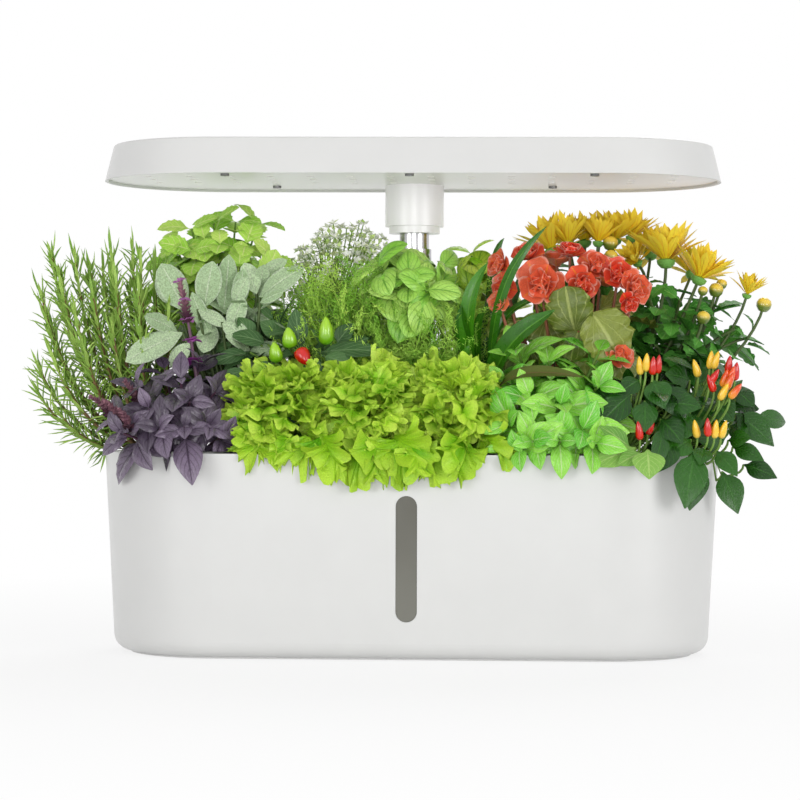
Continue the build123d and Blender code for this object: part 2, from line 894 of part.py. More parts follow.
# ---- Plants -----------------------------------------------------------------------------------
# Each plant stands in its own sponge. Its solid is a stem and a few plain forms: balls of foliage,
# plumes, leaves, blooms and fruit, measured from the middle of its pot at the deck's top. The
# forms are cut to the plant's own share of the room, so that no plant reaches into another.
def ball(x, y, z, radius):
    """A round mass of foliage."""
    return Pos(x, y, z) * Sphere(radius)


def along(base, tip):
    """A plane at base that looks towards tip, and the distance between them."""
    reach = Vector(*tip) - Vector(*base)
    return Plane(origin=base, z_dir=reach), reach.length


def taper(base, tip, base_radius, tip_radius):
    """A round bar that changes thickness from one point to another."""
    plane, length = along(base, tip)
    if abs(base_radius - tip_radius) < tiny:
        return plane * Cylinder(base_radius, length, align=bottom)
    return plane * Cone(base_radius, tip_radius, length, align=bottom)


def plume(tip, radius, lean=0.35, base=(0, 0, 0)):
    """An upright shoot that leans outwards and is widest at its middle."""
    middle = (
        base[0] + (tip[0] - base[0]) * lean,
        base[1] + (tip[1] - base[1]) * lean,
        base[2] + (tip[2] - base[2]) * 0.5,
    )
    shoot = taper(base, middle, stem_radius, radius) + taper(middle, tip, radius, radius / 4)
    return shoot + ball(*middle, radius)


def leaf(base, tip, width, facing=(0, -1, 0)):
    """A flat pointed leaf whose face looks along facing."""
    run = Vector(*tip) - Vector(*base)
    direction = run.normalized()
    face_way = Vector(*facing) - direction * Vector(*facing).dot(direction)
    plane = Plane(origin=base, x_dir=direction, z_dir=face_way.normalized())
    upper = ThreePointArc((0, 0), (run.length * 0.5, width / 2), (run.length, 0))
    lower = ThreePointArc((run.length, 0), (run.length * 0.5, -width / 2), (0, 0))
    return plane * extrude(make_face([upper, lower]), amount=leaf_thickness / 2, both=True)


def bloom(centre, facing, radius, depth):
    """A flower head: a dish that opens towards facing."""
    plane = Plane(origin=centre, z_dir=facing)
    return plane * Pos(0, 0, -depth) * Cone(radius / 3, radius, depth, align=bottom)


def room(xs, ys, zs=None):
    """One plant's share of the room over the deck, a little inside its borders."""
    low, high = zs or (deck_top, canopy_top)
    half = cell_gap / 2
    return block(
        (xs[0] + half, xs[1] - half), (ys[0] + half, ys[1] - half), (low + half, high - half)
    )


canopy_top = lamp_rim_height - mast_down_travel - canopy_gap
keep_out_top = deck_top + basket_flange_thickness + canopy_gap
tank_keep_out = stadium(
    tank_length + 2 * canopy_gap, tank_depth + 2 * canopy_gap, keep_out_top, -beyond
)

# Borders between neighbours, from the front-left corner to the rear-right one
far = tank_length
front_border, back_border = -row_y / 2, row_y / 2
layer_border = front_border + stem_radius * 4
mast_border = socket_flange_radius + cell_gap * 2
front_borders = [
    -far,
    -2 * front_pitch - lettuce_spread,
    -front_pitch,
    0,
    front_pitch + lettuce_spread,
    2 * front_pitch + lettuce_spread,
    far,
]
middle_borders = [-far] + [(number - 2.5) * middle_pitch for number in range(6)] + [far]
back_borders = [-far, -2.5 * back_pitch, -1.5 * back_pitch, -mast_border]
front_row = (-far, front_border)
middle_row = (front_border, back_border)
front_layer = (front_border, layer_border)
rear_layer = (layer_border, back_border)
back_row = (back_border, far)
crown_level = deck_top + crown_rise
shrub_level = deck_top + shrub_rise
basil_level = deck_top + basil_rise
top_level = deck_top + top_rise


def front_cell(number):
    """A front-row plant's room, which also takes in what hangs over the tank's front."""
    xs = (front_borders[number], front_borders[number + 1])
    return room(xs, front_row, (0, canopy_top))


def plant(name, forms, rooms):
    """Join a plant's forms, keep them in its rooms and off the tank, and root them."""
    x, y = pots[name]
    shape = Part() + [Pos(x, y, deck_top) * form for form in forms]
    share = rooms[0]
    for part_of_room in rooms[1:]:
        share += part_of_room
    shape = (shape & share) - tank_keep_out
    shape += disc(stem_radius, deck_top - sponge_hole_depth, deck_top + stem_height, x, y)
    return save(shape, name)


def plant_front_row():
    plant(
        "purple_basil",
        [
            ball(-6, -2, 24, 28),
            ball(-34, 2, 20, 22),
            leaf((-42, 0, 30), (-75, -2, 21), 22, (0, -1, 1)),
            leaf((-16, -4, 40), (-34, -2, 66), 20),
            leaf((-2, -8, 38), (6, -8, 62), 18),
            leaf((-14, -16, 22), (-20, -37, -8), 24, (0, -1, 0.4)),
            leaf((4, -14, 20), (-6, -36, 2), 22, (0, -1, 0.4)),
            leaf((-44, -6, 20), (-58, -24, 2), 20, (-0.5, -1, 0.4)),
            taper((-14, 6, 30), (-17, 14, 106), 2, 4),
        ],
        [front_cell(0)],
    )
    for name, number, lean in (
        ("lettuce_left", 1, -14),
        ("lettuce_middle", 2, 0),
        ("lettuce_right", 3, 12),
    ):
        plant(
            name,
            [
                ball(lean / 2, 0, 26, 33),
                ball(lean - 14, -14, 20, 25),
                ball(lean + 15, -14, 20, 25),
                ball(lean - 12, -27, 6, 20),
                ball(lean + 10, -27, 4, 21),
            ],
            [front_cell(number)],
        )
    plant(
        "bright_basil",
        [
            ball(4, 0, 34, 32),
            ball(2, -15, 22, 24),
            leaf((6, 0, 50), (17, -2, 74), 18),
            leaf((-4, -2, 50), (-11, -2, 72), 16),
            leaf((-4, -30, 16), (-10, -39, -14), 22, (0, -1, 0.3)),
            leaf((14, -29, 16), (18, -38, -8), 20, (0, -1, 0.3)),
        ],
        [front_cell(4)],
    )
    plant(
        "ornamental_chili_front",
        [
            ball(14, 2, 20, 26),
            ball(38, 4, 16, 24),
            taper((24, 8, 36), (26, 8, 58), 4, 1),
            taper((30, 6, 34), (34, 6, 56), 4, 1),
            taper((58, 6, 20), (66, 6, 44), 4, 1),
            leaf((36, -14, 6), (47, -27, -28), 22, (0.2, -1, 0.2)),
            leaf((6, -16, 22), (-2, -40, -8), 20, (0, -1, 0.4)),
            leaf((54, 0, 16), (84, -2, 4), 18, (0, -1, 1)),
        ],
        [front_cell(5)],
    )


def plant_middle_row():
    borders = middle_borders
    plant(
        "rosemary",
        [
            plume((-68, 4, 136), 11, 0.6),
            plume((-42, 2, 114), 11, 0.6),
            plume((-10, 6, 130), 12, 0.6),
            plume((-26, 12, 122), 11, 0.6),
            plume((4, 6, 112), 10, 0.6),
            plume((-84, 2, 52), 8, 0.5),
            plume((-60, 4, 22), 7, 0.6, (0, 2, 6)),
        ],
        [room((-far, borders[1]), rear_layer)],
    )
    plant(
        "sage",
        [
            ball(0, 0, 26, 21),
            ball(-2, -2, 58, 26),
            ball(-10, -4, 84, 20),
            leaf((-8, -6, 90), (-12, -4, 127), 20),
            leaf((-18, -10, 84), (-30, -9, 121), 20),
            leaf((6, -4, 90), (3, -2, 122), 18),
            leaf((-2, -5, 96), (34, 0, 120), 18),
            leaf((-18, -12, 78), (-56, -13, 120), 20),
            leaf((-16, -12, 72), (-76, -14, 58), 20, (0, -1, 0.6)),
            leaf((-14, -12, 82), (-52, -12, 78), 18, (0, -1, 0.3)),
        ],
        [
            room((borders[1], borders[2]), middle_row),
            room((-far, borders[2]), front_layer, (deck_top + 30, canopy_top)),
        ],
    )
    plant(
        "green_chili",
        [
            ball(0, -2, 26, 26),
            ball(2, -12, 50, 18),
            taper((-2, -15, 54), (-3, -16, 77), 5, 2),
            taper((-20, -15, 46), (-20, -16, 72), 5, 2),
            taper((-12, -15, 44), (-14, -16, 64), 4, 2),
            leaf((8, -14, 48), (44, -15, 64), 15),
            leaf((6, -14, 54), (26, -15, 76), 13),
        ],
        [
            room((borders[2], borders[3]), middle_row, (deck_top, crown_level)),
            room((borders[2], borders[3]), front_layer, (crown_level - 6, basil_level)),
            room((borders[2], borders[3] + 24), front_layer, (crown_level, basil_level)),
        ],
    )
    plant(
        "dill",
        [
            ball(0, 0, 32, 28),
            ball(-8, 6, 60, 28),
            ball(-32, 8, 70, 26),
            ball(-54, 8, 92, 28),
            ball(8, 6, 60, 24),
        ],
        [
            room((borders[3], borders[4]), middle_row, (deck_top, crown_level)),
            room((borders[3], borders[4]), rear_layer, (deck_top, basil_level)),
            room((borders[2], borders[4]), rear_layer, (crown_level, basil_level)),
            room((borders[2], borders[3] - 12), rear_layer, (crown_level, canopy_top)),
        ],
    )
    plant(
        "long_leaf_plant",
        [
            ball(0, -6, 16, 15),
            leaf((0, -12, 10), (20, -15, 141), 13),
            leaf((-2, -13, 10), (-28, -15, 91), 13),
            leaf((2, -13, 10), (20, -15, 80), 13),
            leaf((14, -14, 60), (56, -17, 90), 15),
            leaf((0, -14, 12), (6, -14, 118), 13),
            leaf((0, -15, 16), (25, -19, 46), 10),
        ],
        [
            room((borders[4], borders[5]), middle_row, (deck_top, shrub_level)),
            room((borders[4], borders[5]), front_layer, (shrub_level - 6, canopy_top)),
            room((borders[4] - 4, borders[6]), front_layer, (shrub_level, canopy_top)),
        ],
    )
    plant(
        "begonia",
        [
            ball(0, 0, 28, 22),
            ball(0, 2, 62, 28),
            ball(-22, 6, 94, 24),
            ball(16, 6, 94, 24),
            bloom((-30, -7, 112), (0, -1, 0.3), 17, 10),
            bloom((-2, -4, 122), (0, -0.6, 1), 14, 10),
            bloom((20, -4, 113), (0.3, -0.8, 0.8), 14, 10),
            bloom((-50, -4, 100), (-0.4, -1, 0.4), 12, 10),
            bloom((38, -4, 102), (0.5, -1, 0.4), 12, 10),
            leaf((4, -12, 86), (14, -14, 49), 34, (0, -1, 0.3)),
        ],
        [
            room((borders[5], borders[6]), middle_row, (deck_top, shrub_level)),
            room((borders[5], borders[6]), rear_layer, (shrub_level - 6, canopy_top)),
            room((borders[4] + 12, borders[6] + 18), rear_layer, (shrub_level, canopy_top)),
        ],
    )
    plant(
        "ornamental_chili_side",
        [
            ball(2, 0, 26, 28),
            ball(26, -2, 24, 26),
            taper((38, -4, 36), (44, -5, 60), 5, 1),
            taper((30, -4, 40), (33, -5, 62), 5, 1),
            leaf((42, -8, 16), (48, -13, -34), 18, (0.3, -1, 0.1)),
            leaf((44, -6, 24), (72, -13, -7), 18, (0.3, -1, 0.6)),
            leaf((44, -4, 32), (70, -8, 12), 17, (0.2, -1, 1)),
        ],
        [room((borders[6], far), middle_row, (0, shrub_level))],
    )


def plant_back_row():
    borders = back_borders
    plant(
        "lemon_balm",
        [
            ball(0, 0, 27, 22),
            ball(-2, 2, 62, 28),
            ball(-12, 0, 98, 30),
            ball(4, 0, 120, 30),
            leaf((4, -2, 136), (9, -3, 156), 20),
            leaf((-22, 0, 116), (-43, -4, 139), 20),
            leaf((14, -2, 116), (41, -4, 131), 20),
            leaf((-26, 2, 92), (-46, 2, 104), 20),
        ],
        [
            room((-far, borders[1]), back_row),
            room((-far, borders[2] - 21), back_row, (top_level, canopy_top)),
        ],
    )
    plant(
        "white_thyme",
        [
            ball(0, 0, 25, 19),
            ball(0, 2, 58, 22),
            ball(8, 2, 90, 26),
            ball(36, 0, 122, 30),
            ball(24, 0, 110, 24),
        ],
        [
            room((borders[1], borders[2]), back_row, (deck_top, top_level)),
            room((borders[2] - 21, borders[2]), back_row, (top_level - 6, canopy_top)),
            room((borders[2] - 21, borders[3]), back_row, (top_level, canopy_top)),
        ],
    )
    plant(
        "sweet_basil",
        [
            ball(0, 0, 25, 18),
            ball(0, 0, 56, 20),
            ball(6, -4, 84, 22),
            ball(12, -24, 104, 22),
            ball(32, -34, 112, 23),
            ball(52, -34, 108, 21),
            ball(30, -50, 104, 20),
            ball(48, -52, 98, 18),
        ],
        [
            room((borders[2], borders[3]), back_row, (deck_top, top_level)),
            room((borders[3] - 16, borders[3]), (layer_border, far), (basil_level, top_level)),
            room((borders[3] - 16, middle_borders[4] - 4), middle_row, (basil_level, canopy_top)),
            room((borders[3] - 16, middle_borders[4]), rear_layer, (basil_level, canopy_top)),
        ],
    )
    basil_right = 1.5 * back_pitch
    plant(
        "large_basil",
        [
            ball(2, 0, 25, 18),
            ball(2, 0, 54, 20),
            ball(-10, 0, 72, 18),
            ball(-34, 0, 90, 26),
            ball(-46, 0, 110, 25),
        ],
        [
            room((basil_right, 2.5 * back_pitch), back_row, (deck_top, shrub_level + 10)),
            room((mast_border, basil_right + 6), back_row, (shrub_level - 8, shrub_level + 10)),
            room((mast_border, basil_right), back_row, (shrub_level - 8, canopy_top)),
        ],
    )
    stalks = [
        ((50, 0, 90), (87, 0, 100)),
        ((50, 0, 80), (96, 0, 92)),
        ((40, 0, 90), (66, 0, 104)),
    ]
    plant(
        "chrysanthemum",
        [
            ball(2, 0, 27, 22),
            ball(8, 0, 58, 28),
            ball(20, -2, 90, 30),
            ball(44, 0, 74, 26),
            ball(-14, 0, 112, 24),
            ball(-32, 0, 118, 16),
            ball(70, -3, 82, 17),
            ball(-12, 0, 84, 20),
            bloom((31, -12, 136), (0, -0.7, 1), 24, 16),
            bloom((57, -10, 122), (0.5, -0.7, 1), 22, 16),
            bloom((-42, -8, 137), (-0.3, -0.7, 1), 22, 14),
            bloom((-18, 2, 148), (0, -0.4, 1), 17, 14),
            bloom((8, 2, 150), (0.1, -0.3, 1), 18, 16),
            bloom((27, 14, 127), (0.1, 0.6, 0.8), 18, 14),
            bloom((53, 12, 114), (0.4, 0.6, 0.9), 17, 14),
            bloom((1, 14, 136), (0, 0.5, 1), 16, 12),
            bloom((-26, 14, 134), (-0.2, 0.5, 0.9), 16, 12),
            *[taper(base, tip, 2, 2) for base, tip in stalks],
            taper((85, 0, 96), (90, 0, 112), 3, 9),
            ball(97, 0, 93, 6),
            ball(67, 0, 105, 6),
            leaf((52, 0, 62), (98, 0, 70), 20),
            leaf((50, -4, 58), (78, -6, 46), 20),
        ],
        [
            room((2.5 * back_pitch, far), back_row),
            room((basil_right, far), back_row, (shrub_level + 10, canopy_top)),
        ],
    )


save(make_tank(), "water_tank")
save(make_foot_pads(), "foot_pads")
save(make_sight_window(), "sight_window")
save(make_window_gasket(), "window_gasket")
save(make_deck(), "deck")
save(group(make_basket(x, y) for x, y in pots.values()), "grow_baskets")
save(group(make_sponge(x, y) for x, y in pots.values()), "grow_sponges")
save(make_fill_port_lid(), "fill_port_lid")
save(make_hinge_pin(), "fill_port_hinge_pin")
save(make_mast_socket(), "mast_socket")
save(make_socket_screws(), "socket_screws")
save(
    tube(outer_tube_radius, outer_tube_bore, outer_tube_bottom, outer_tube_top, 0, mast_y),
    "mast_outer_tube",
)
collar_bottom = outer_tube_top - collar_height
save(
    tube(collar_radius, outer_tube_radius, collar_bottom, outer_tube_top, 0, mast_y),
    "mast_collar",
)
inner_tube_bore = inner_tube_radius - inner_tube_wall
save(
    tube(inner_tube_radius, inner_tube_bore, inner_tube_bottom, inner_tube_top, 0, mast_y),
    "mast_inner_tube",
)
save(make_neck(), "lamp_neck")
neck_bore = inner_tube_radius + running_gap
save(
    tube(neck_ring_radius, neck_bore, neck_ring_bottom, neck_bottom, 0, mast_y), "lamp_neck_ring"
)
save(disc(mast_cable_radius, outer_tube_bottom, inner_tube_top, 0, mast_y), "mast_cable")
save(make_lamp_shell(), "lamp_shell")
save(make_lamp_panel(), "lamp_panel")
save(make_led_board(), "led_board")
save(make_led_chips(), "led_chips")
save(
    group(
        make_hanging_screw(x, y, panel_bottom, screw_shank_length) for x, y in panel_screw_places()
    ),
    "panel_screws",
)
save(make_control_board(), "control_board")
save(
    group(
        make_hanging_screw(x, y, control_board_bottom, board_screw_length)
        for x, y in board_boss_places()
    ),
    "board_screws",
)
save(group(make_switch(x, y) for x, y in button_places().values()), "tact_switches")
for button, (x, y) in button_places().items():
    save(make_button(x, y), button)
save(make_pump_housing(), "pump_housing")
save(make_pump_cover(), "pump_cover")
save(make_pump_shaft(), "pump_shaft")
save(make_pump_rotor(), "pump_rotor")
save(make_pump_filter(), "pump_filter")
save(make_pump_feet(), "pump_feet")
save(make_pump_riser(), "pump_riser")
save(make_pump_cable(), "pump_cable")
save(make_power_inlet(), "power_inlet")
save(make_inlet_nut(), "inlet_nut")
plant_front_row()
plant_middle_row()
plant_back_row()
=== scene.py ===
import json
import math

import bpy
import numpy as np
from mathutils import Matrix, Vector

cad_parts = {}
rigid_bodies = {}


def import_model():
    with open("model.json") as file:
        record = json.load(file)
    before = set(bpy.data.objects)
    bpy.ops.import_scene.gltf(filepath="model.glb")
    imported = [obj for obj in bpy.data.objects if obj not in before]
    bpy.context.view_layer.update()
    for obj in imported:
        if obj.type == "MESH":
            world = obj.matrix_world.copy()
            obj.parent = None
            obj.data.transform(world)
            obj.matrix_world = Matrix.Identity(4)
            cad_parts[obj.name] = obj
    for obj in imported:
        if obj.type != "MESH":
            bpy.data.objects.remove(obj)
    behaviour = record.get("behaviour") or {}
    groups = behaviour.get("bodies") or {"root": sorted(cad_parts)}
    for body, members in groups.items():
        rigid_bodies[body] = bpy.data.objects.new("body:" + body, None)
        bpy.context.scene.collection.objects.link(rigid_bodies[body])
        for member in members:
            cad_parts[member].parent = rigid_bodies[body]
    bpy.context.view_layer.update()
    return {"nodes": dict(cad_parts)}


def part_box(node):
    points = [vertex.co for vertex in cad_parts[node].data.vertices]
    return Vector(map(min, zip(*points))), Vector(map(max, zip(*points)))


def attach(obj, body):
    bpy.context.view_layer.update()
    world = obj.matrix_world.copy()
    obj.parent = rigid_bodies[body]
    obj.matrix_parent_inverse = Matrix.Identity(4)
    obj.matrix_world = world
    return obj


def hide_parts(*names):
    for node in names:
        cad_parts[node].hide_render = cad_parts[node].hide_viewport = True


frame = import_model()
nodes = frame["nodes"]

# ---- Camera --------------------------------------------------------------------------------------
# A long lens, level with the middle of the planter, a little to the right of its centre line.
camera_distance = 1.638
camera_height = 0.1579
camera_azimuth = math.radians(2.097)
camera_aim = math.radians(0.249)
camera_roll = math.radians(0.258)
camera_data = bpy.data.cameras.new("camera")
camera_data.lens = 117.09
camera_data.sensor_width = 36.0
camera = bpy.data.objects.new("camera", camera_data)
camera.matrix_world = (
    Matrix.Translation((
        camera_distance * math.sin(camera_azimuth),
        -camera_distance * math.cos(camera_azimuth),
        camera_height,
    ))
    @ Matrix.Rotation(camera_azimuth + camera_aim, 4, "Z")
    @ Matrix.Rotation(math.radians(90), 4, "X")
    @ Matrix.Rotation(camera_roll, 4, "Z")
)
bpy.context.scene.collection.objects.link(camera)
bpy.context.scene.camera = camera
bpy.context.scene.view_settings.view_transform = "Standard"

# ---- Studio --------------------------------------------------------------------------------------
# A white room: the background is plain white to the lens and to anything shiny, and the light on
# the planter comes from a pale sky and three low lamps in front, which reach in under the lamp head,
# and from one high at the back.
sky_strength = 0.52
lamps = [
    ("key_light", (-1.2, -1.4, 0.38), 0.8, 7.2),
    ("fill_light", (1.4, -1.25, 0.36), 0.8, 10.0),
    ("low_light", (0.0, -1.8, 0.2), 0.7, 7.2),
    ("back_light", (0.4, 1.3, 1.6), 1.2, 11.0),
]
lamp_aim = Vector((0, 0, 0.15))
world = bpy.data.worlds.new("white_room")
bpy.context.scene.world = world
world.use_nodes = True


def add_node(tree, kind, **values):
    """Add a node, and set its sockets by name and its properties by attribute."""
    node = tree.nodes.new(kind)
    for name, value in values.items():
        if hasattr(node, name):
            setattr(node, name, value)
        else:
            node.inputs[name.replace("_", " ")].default_value = value
    return node


def white_to_the_lens(tree):
    """Light Path's sum of camera, glossy and transmission rays, which see the plain background."""
    path = add_node(tree, "ShaderNodeLightPath")
    seen = path.outputs["Is Camera Ray"]
    for ray in ("Is Glossy Ray", "Is Transmission Ray"):
        total = add_node(tree, "ShaderNodeMath", operation="ADD", use_clamp=True)
        tree.links.new(seen, total.inputs[0])
        tree.links.new(path.outputs[ray], total.inputs[1])
        seen = total.outputs[0]
    return seen


sky = world.node_tree.nodes["Background"]
sky.inputs["Color"].default_value = (1.0, 1.0, 1.0, 1.0)
strength = add_node(world.node_tree, "ShaderNodeMix")
strength.inputs[2].default_value = sky_strength
strength.inputs[3].default_value = 1.0
world.node_tree.links.new(white_to_the_lens(world.node_tree), strength.inputs[0])
world.node_tree.links.new(strength.outputs[0], sky.inputs["Strength"])

for name, place, size, power in lamps:
    light = bpy.data.lights.new(name, "AREA")
    light.shape = "DISK"
    light.size = size
    light.energy = power
    lamp = bpy.data.objects.new(name, light)
    lamp.location = place
    lamp.rotation_euler = (lamp_aim - Vector(place)).to_track_quat("-Z", "Y").to_euler()
    bpy.context.scene.collection.objects.link(lamp)

floor_half = 6.0
floor_drop = 0.0002
fade_start, fade_end, fade_shade = 0.2, 0.75, 0.80
floor_mesh = bpy.data.meshes.new("floor")
floor_mesh.from_pydata(
    [(x, y, -floor_drop) for x, y in ((-1, -1), (1, -1), (1, 1), (-1, 1))], [], [(0, 1, 2, 3)]
)
floor_mesh.transform(Matrix.Diagonal((floor_half, floor_half, 1, 1)))
floor = bpy.data.objects.new("floor", floor_mesh)
bpy.context.scene.collection.objects.link(floor)

floor_paint = bpy.data.materials.new("floor_paint")
floor_paint.use_nodes = True
tree = floor_paint.node_tree
matt = tree.nodes["Principled BSDF"]
matt.inputs["Base Color"].default_value = (0.9, 0.9, 0.9, 1)
matt.inputs["Roughness"].default_value = 0.9
glow = add_node(tree, "ShaderNodeEmission", Strength=1.0)
glow.inputs["Color"].default_value = (1, 1, 1, 1)
place = add_node(tree, "ShaderNodeTexCoord")
reach = add_node(tree, "ShaderNodeVectorMath", operation="LENGTH")
tree.links.new(place.outputs["Object"], reach.inputs[0])
fade = add_node(tree, "ShaderNodeMapRange")
fade.inputs["From Min"].default_value = fade_start
fade.inputs["From Max"].default_value = fade_end
fade.inputs["To Min"].default_value = fade_shade
fade.inputs["To Max"].default_value = 1.0
tree.links.new(reach.outputs["Value"], fade.inputs["Value"])
share = add_node(tree, "ShaderNodeMath", operation="MULTIPLY")
tree.links.new(white_to_the_lens(tree), share.inputs[0])
tree.links.new(fade.outputs["Result"], share.inputs[1])
blend = add_node(tree, "ShaderNodeMixShader")
tree.links.new(share.outputs[0], blend.inputs[0])
tree.links.new(matt.outputs[0], blend.inputs[1])
tree.links.new(glow.outputs[0], blend.inputs[2])
tree.links.new(blend.outputs[0], tree.nodes["Material Output"].inputs["Surface"])
floor.data.materials.append(floor_paint)

# ---- Water tank ----------------------------------------------------------------------------------
# An oblong tank moulded in white plastic, smooth and half glossy, that stands on a ring under its
# floor. The moulding shows a faint mottle and a very fine grain close up.
housing_white = (0.665, 0.665, 0.655, 1)


def calc(tree, operation, *values):
    """A Math node over sockets or numbers; returns its output."""
    node = tree.nodes.new("ShaderNodeMath")
    node.operation = operation
    for socket, value in zip(node.inputs, values):
        if isinstance(value, bpy.types.NodeSocket):
            tree.links.new(value, socket)
        else:
            socket.default_value = value
    return node.outputs[0]


def ramp(tree, value, low, high, start=0.0, end=1.0):
    """A smooth step of a socket's value, from start at low to end at high."""
    node = tree.nodes.new("ShaderNodeMapRange")
    node.interpolation_type = "SMOOTHSTEP"
    for name, number in (("From Min", low), ("From Max", high), ("To Min", start), ("To Max", end)):
        node.inputs[name].default_value = number
    tree.links.new(value, node.inputs["Value"])
    return node.outputs["Result"]


def mix_colour(tree, share, first, second):
    """A colour between two, each a socket or a plain colour."""
    node = tree.nodes.new("ShaderNodeMix")
    node.data_type = "RGBA"
    tree.links.new(share, node.inputs[0])
    for socket, colour in ((node.inputs[6], first), (node.inputs[7], second)):
        if isinstance(colour, bpy.types.NodeSocket):
            tree.links.new(colour, socket)
        else:
            socket.default_value = (*colour[:3], 1)
    return node.outputs[2]


def noise(tree, size, detail=3.0, coordinate="Object"):
    """Noise with features of a size in metres."""
    place = tree.nodes.new("ShaderNodeTexCoord")
    node = add_node(tree, "ShaderNodeTexNoise", Scale=1 / size, Detail=detail)
    tree.links.new(place.outputs[coordinate], node.inputs["Vector"])
    return node.outputs["Fac"]


def add_bump(tree, height, depth, strength=0.5):
    """Raise the surface by a height socket, in metres of depth."""
    bump = add_node(tree, "ShaderNodeBump", Strength=strength, Distance=depth)
    tree.links.new(height, bump.inputs["Height"])
    tree.links.new(bump.outputs["Normal"], tree.nodes["Principled BSDF"].inputs["Normal"])


def shade(colour, factor):
    return tuple(min(1.0, part * factor) for part in colour[:3])


def moulded(name, colour, roughness, grain=0.0006, depth=0.00003, mottle=0.03, **fixed):
    """A moulded, cast or rolled skin: a faint mottle in colour and roughness, and a fine grain."""
    material = bpy.data.materials.new(name)
    material.use_nodes = True
    tree = material.node_tree
    skin = tree.nodes["Principled BSDF"]
    cloud = noise(tree, 0.03)
    tone = mix_colour(tree, cloud, shade(colour, 1 - mottle), shade(colour, 1 + mottle))
    tree.links.new(tone, skin.inputs["Base Color"])
    rough = ramp(tree, noise(tree, 0.012), 0.3, 0.7, roughness * 0.85, roughness * 1.15)
    tree.links.new(rough, skin.inputs["Roughness"])
    add_bump(tree, noise(tree, grain), depth)
    for socket, value in fixed.items():
        skin.inputs[socket.replace("_", " ")].default_value = value
    return material


def finish_node(node, material):
    """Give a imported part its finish."""
    nodes[node].data.materials.clear()
    nodes[node].data.materials.append(material)


housing_plastic = moulded("housing_plastic", housing_white, 0.34, Coat_Weight=0.15, Coat_Roughness=0.2)
finish_node("water_tank", housing_plastic)

# ---- Foot pads -----------------------------------------------------------------------------------
# Four grey silicone pads, glued flush inside the rest ring.
pad_rubber = moulded("pad_rubber", (0.12, 0.12, 0.12), 0.75, grain=0.0004, depth=0.0001)
finish_node("foot_pads", pad_rubber)
finish_node("window_gasket", pad_rubber)

# ---- Sight window --------------------------------------------------------------------------------
# A smoked lens pressed into the front wall from inside. Its colour is painted darker at the top, painted
# shade for the dark tank behind it, and paler below, painted light where light comes through the wall.
lens_shaded_top, lens_lit_low = (0.094, 0.090, 0.070), (0.162, 0.160, 0.134)
smoked_lens = moulded("smoked_lens", lens_shaded_top, 0.22, depth=0.00001, Coat_Weight=0.3, Coat_Roughness=0.1)
tree = smoked_lens.node_tree
skin = tree.nodes["Principled BSDF"]
place = tree.nodes.new("ShaderNodeTexCoord")
split = tree.nodes.new("ShaderNodeSeparateXYZ")
tree.links.new(place.outputs["Object"], split.inputs[0])
low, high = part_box("sight_window")
# painted shade at the top of the lens, painted light towards its foot
level = ramp(tree, split.outputs["Z"], low.z, high.z)
tree.links.new(mix_colour(tree, level, lens_lit_low, lens_shaded_top), skin.inputs["Base Color"])
finish_node("sight_window", smoked_lens)

# ---- Deck and fill port --------------------------------------------------------------------------
# The loose deck is moulded like the tank. Its small hinged lid turns on a steel pin.
for node in ("deck", "fill_port_lid", "mast_socket"):
    finish_node(node, housing_plastic)
screw_steel = moulded("screw_steel", (0.70, 0.70, 0.69), 0.4, grain=0.0003, Metallic=1.0)
dark_screw = moulded("dark_screw", (0.20, 0.20, 0.20), 0.40, grain=0.0003, Metallic=1.0)
for node in ("fill_port_hinge_pin", "socket_screws", "pump_shaft", "inlet_nut", "board_screws"):
    finish_node(node, screw_steel)

# ---- Grow baskets and sponges --------------------------------------------------------------------
# Net cups in white plastic, each with a plug of brown peat sponge, open and crumbly.
finish_node("grow_baskets", moulded("basket_plastic", (0.70, 0.70, 0.68), 0.45))
sponge = moulded("peat_sponge", (0.060, 0.034, 0.018), 0.95, grain=0.0012, depth=0.0009, mottle=0.4)
finish_node("grow_sponges", sponge)

# ---- Mast ----------------------------------------------------------------------------------------
# Two polished steel tubes, the inner one sliding in the outer, with a collar at the joint. The lamp's
# lead runs inside.
polished_steel = moulded("polished_steel", (0.50, 0.50, 0.51), 0.2, depth=0.00001, Metallic=1.0)
for node in ("mast_outer_tube", "mast_collar", "mast_inner_tube"):
    finish_node(node, polished_steel)
cable_jacket = moulded("cable_jacket", (0.03, 0.03, 0.03), 0.5)
for node in ("mast_cable", "pump_cable"):
    finish_node(node, cable_jacket)

# ---- Lamp ----------------------------------------------------------------------------------------
# A shallow shell in white plastic, closed below by a flat panel that five dark cross-head screws hold.
# Square LED lenses look through the panel.
finish_node("lamp_shell", housing_plastic)
# A paler, glossier white than the shell's plastic for the panel, the neck and its ring: the gloss is the
# panel's own, and the paleness is painted light against the shade under the lamp head.
reflector_white = moulded("reflector_white", (0.95, 0.93, 0.95, 1), 0.5, depth=0.000003, mottle=0.01,
                          Coat_Weight=0.8, Coat_Roughness=0.25)
for node in ("lamp_panel", "lamp_neck", "lamp_neck_ring"):
    finish_node(node, reflector_white)
finish_node("panel_screws", dark_screw)
finish_node("led_board", moulded("board_lacquer", (0.75, 0.75, 0.75), 0.4))
led_lens = moulded("led_lens", (0.90, 0.80, 0.35), 0.18, Coat_Weight=0.5)
finish_node("led_chips", led_lens)
finish_node("control_board", moulded("board_green", (0.02, 0.12, 0.05), 0.35))
black_plastic = moulded("black_plastic", (0.022, 0.022, 0.023), 0.42)
for node in ("tact_switches", "pump_housing", "pump_cover", "power_inlet"):
    finish_node(node, black_plastic)
button_grey = moulded("button_grey", (0.36, 0.37, 0.37), 0.55, grain=0.0004, depth=0.00005)
for node in ("light_button", "pump_button", "timer_button"):
    finish_node(node, button_grey)

